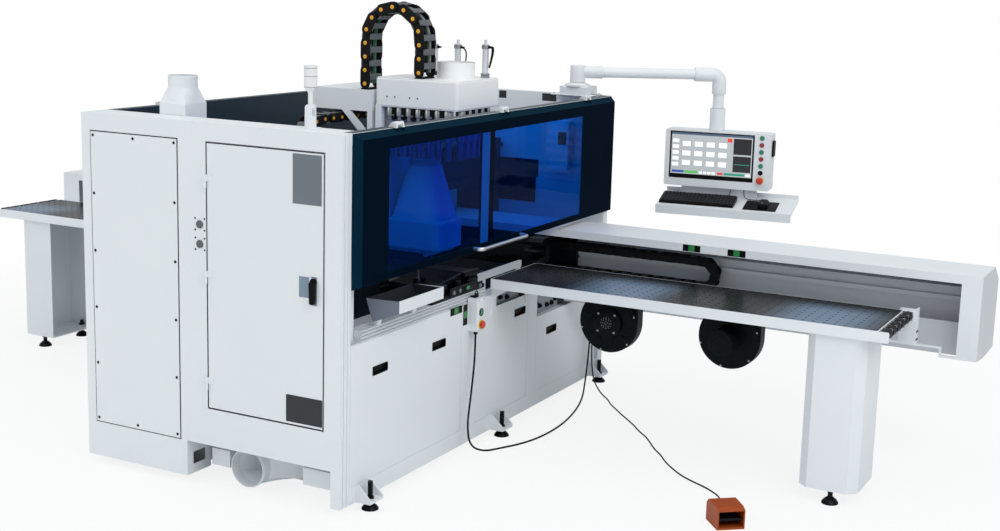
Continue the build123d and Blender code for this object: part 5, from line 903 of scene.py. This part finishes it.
tag_x = np.array((1521, 1775))
block("beam_tags", spots(tag_x, 709, 990), spots(tag_x + 100, 710.1, 1026), 0.3, black_abs)
block("beam_tag_films", spots(tag_x + 33, 708.4, 992), spots(tag_x + 67, 709.1, 1024), 0.2, green_film)
gap_y = -72 + (521 - 24) / 6 * np.arange(7)
low = spots(2778, gap_y - 2.5, 832)
block("roller_dividers", low, low + (46, 5, 45), 1.2, zinc)
block("deck_end_strip", (2774.9, -83.8, 876), (2780, 436.8, 879.5), 0.8, white_coat)
bracket_screws = [(2843, y, z) for y in (449, 474) for z in (735, 775)]
piece("bracket_screws", [at(pan_head(6.5), bracket_screws, OUT)], black_steel)

# Blowers: five ribs and a boss on the first cover, screws and vents, grille and fins of the second motor

drum = np.array((BLOWER_1, 60, BLOWER_Z))
arc = np.linspace(-0.42, 0.42, 7)
blade = np.concatenate((np.stack((np.sin(arc), np.cos(arc)), -1) * 138,
                        np.stack((np.sin(-arc * 0.55), np.cos(arc * 0.55)), -1) * 86))
middle = blade.mean(0)
rib_levels = ((-1, 1), (3, 1), (5, 0.9))
rib = np.stack([np.insert((blade - middle) * s + middle, 2, h, axis=1) for h, s in rib_levels])
ribs = np.stack([turned_to(rib, k * 2 * math.pi / 5, (0, 0, 0)) for k in range(5)])
boss = turned([(76, -2), (76, 17), (70, 21), (30, 23)], 24)
piece("fan_cover", [facing(ribs, NEAR) + drum, at(boss, drum, NEAR)], black_coat)
piece("fan_screws", [at(pan_head(6), round_spots((BLOWER_1, 38.5, BLOWER_Z), 64, 4, 0.78), NEAR)], zinc)
bolts = [round_spots((x, y, BLOWER_Z), 150, 6, 0.3) for x, y in ((BLOWER_1, 60), (BLOWER_2, 100))]
piece("drum_bolts", [at(pan_head(5.5), np.concatenate(bolts), NEAR)], zinc)
vents = [round_spots((BLOWER_1, 37.2, BLOWER_Z), r, n) for r, n in ((8, 4), (19, 8), (28, 12))]
vent = turned([(3.2, 0), (3.2, 0.6), (2, 0.9)], 8)
piece("fan_vents", [at(vent, np.concatenate(vents), NEAR)], grey_abs)
grille = [at(hoops(r, r + 4, 0, 3, 0.8), (BLOWER_2, -30, BLOWER_Z), NEAR) for r in (14, 26, 38, 50)]
piece("motor_grille", grille, black_steel)
fins = spots(BLOWER_2, -24 + 14 * np.arange(8), BLOWER_Z)
piece("motor_fins", [at(hoops(60, 66, 0, 5, 1), fins, FAR)], black_coat)

# Treadle ribs, signal tower and dust ports: seams and beads

rib_y = -56 + 13 * np.arange(6)
low = spots(-50, rib_y, 36 + (46 - rib_y) * 12 / 108)
treads = turned_to(bars(low, low + (100, 6, 4.5), 1.4), PEDAL_TURN, PEDAL)
piece("treadle_ribs", [treads], black_nylon, "foot_treadle")
tower_rings = spots(520, -1350, (1927, 1974, 2010))
piece("tower_seams", [at(hoops(28.4, 29.9, -1.2, 1.2, 0.4), tower_rings)], grey_plate, "tower_mast")
piece("riser_bead", [at(hoops(68.5, 71.6, -3, 3, 1.2, 36), (-341, -1183, 1917))], white_coat)
piece("duct_bead", [at(hoops(90.5, 95, -4, 4, 1.5, 36), (192, -1378, 120), FAR)], white_coat)

# Far and rear sides: screwed covers, louvres and beam joints

covers = [seam((x0, 150), (x0 + 640, 1620), 1, FAR_Y, 1) for x0 in (-690, 50)]
rear_covers = (((-1210, 170), (-110, 700)), ((-1210, 1070), (1340, 1700)))
covers += [seam(low, high, 0, REAR_X, -1) for low, high in rear_covers]
piece("wall_seals", covers, black_rubber)
far_dots = [(x, FAR_Y, z) for x in (-672, -68, 68, 672) for z in np.linspace(168, 1602, 6)]
rear_dots = [(REAR_X, y, z) for y in np.linspace(-1192, -128, 5) for z in (188, 682)]
rear_dots += [(REAR_X, y, z) for y in np.linspace(-1192, 1322, 9) for z in (1088, 1682)]
piece("wall_screws", [at(pan_head(7), far_dots, FAR), at(pan_head(7), rear_dots, REAR)], black_steel)
slat = plates(rounded(420, 13, 6, 3), [(0, 0), (2.6, 1.2), (3.8, 3.6)])
slats = [(x, FAR_Y, z) for x in (-370, 370) for z in 1230 + 26 * np.arange(12)]
piece("wall_louvres", [at(slat, slats, FAR)], white_coat)
strap_x = np.array((-2200, -1400, 1400, 2200))
block("beam_straps", spots(strap_x, 1190, 612), spots(strap_x + 60, 1192, 912), 0.8, white_coat)
strap_dots = [(x + dx, 1192, z) for x in strap_x for dx in (15, 45) for z in np.linspace(640, 884, 4)]
piece("strap_screws", [at(pan_head(5.5), strap_dots, FAR)], zinc)
case_slat = plates(rounded(240, 9, 4, 3), [(0, 0), (1.8, 0.8), (2.6, 2.6)])
case_slats = spots(20, CASE_BACK, 1300 + 18 * np.arange(11))
piece("case_louvres", [on_panel(at(case_slat, case_slats, FAR))], white_coat, "control_panel")
case_dots = [(x, CASE_BACK, z) for x in (-270, 318) for z in (1230, 1515)]
piece("case_screws", [on_panel(at(pan_head(5), case_dots, FAR))], zinc, "control_panel")
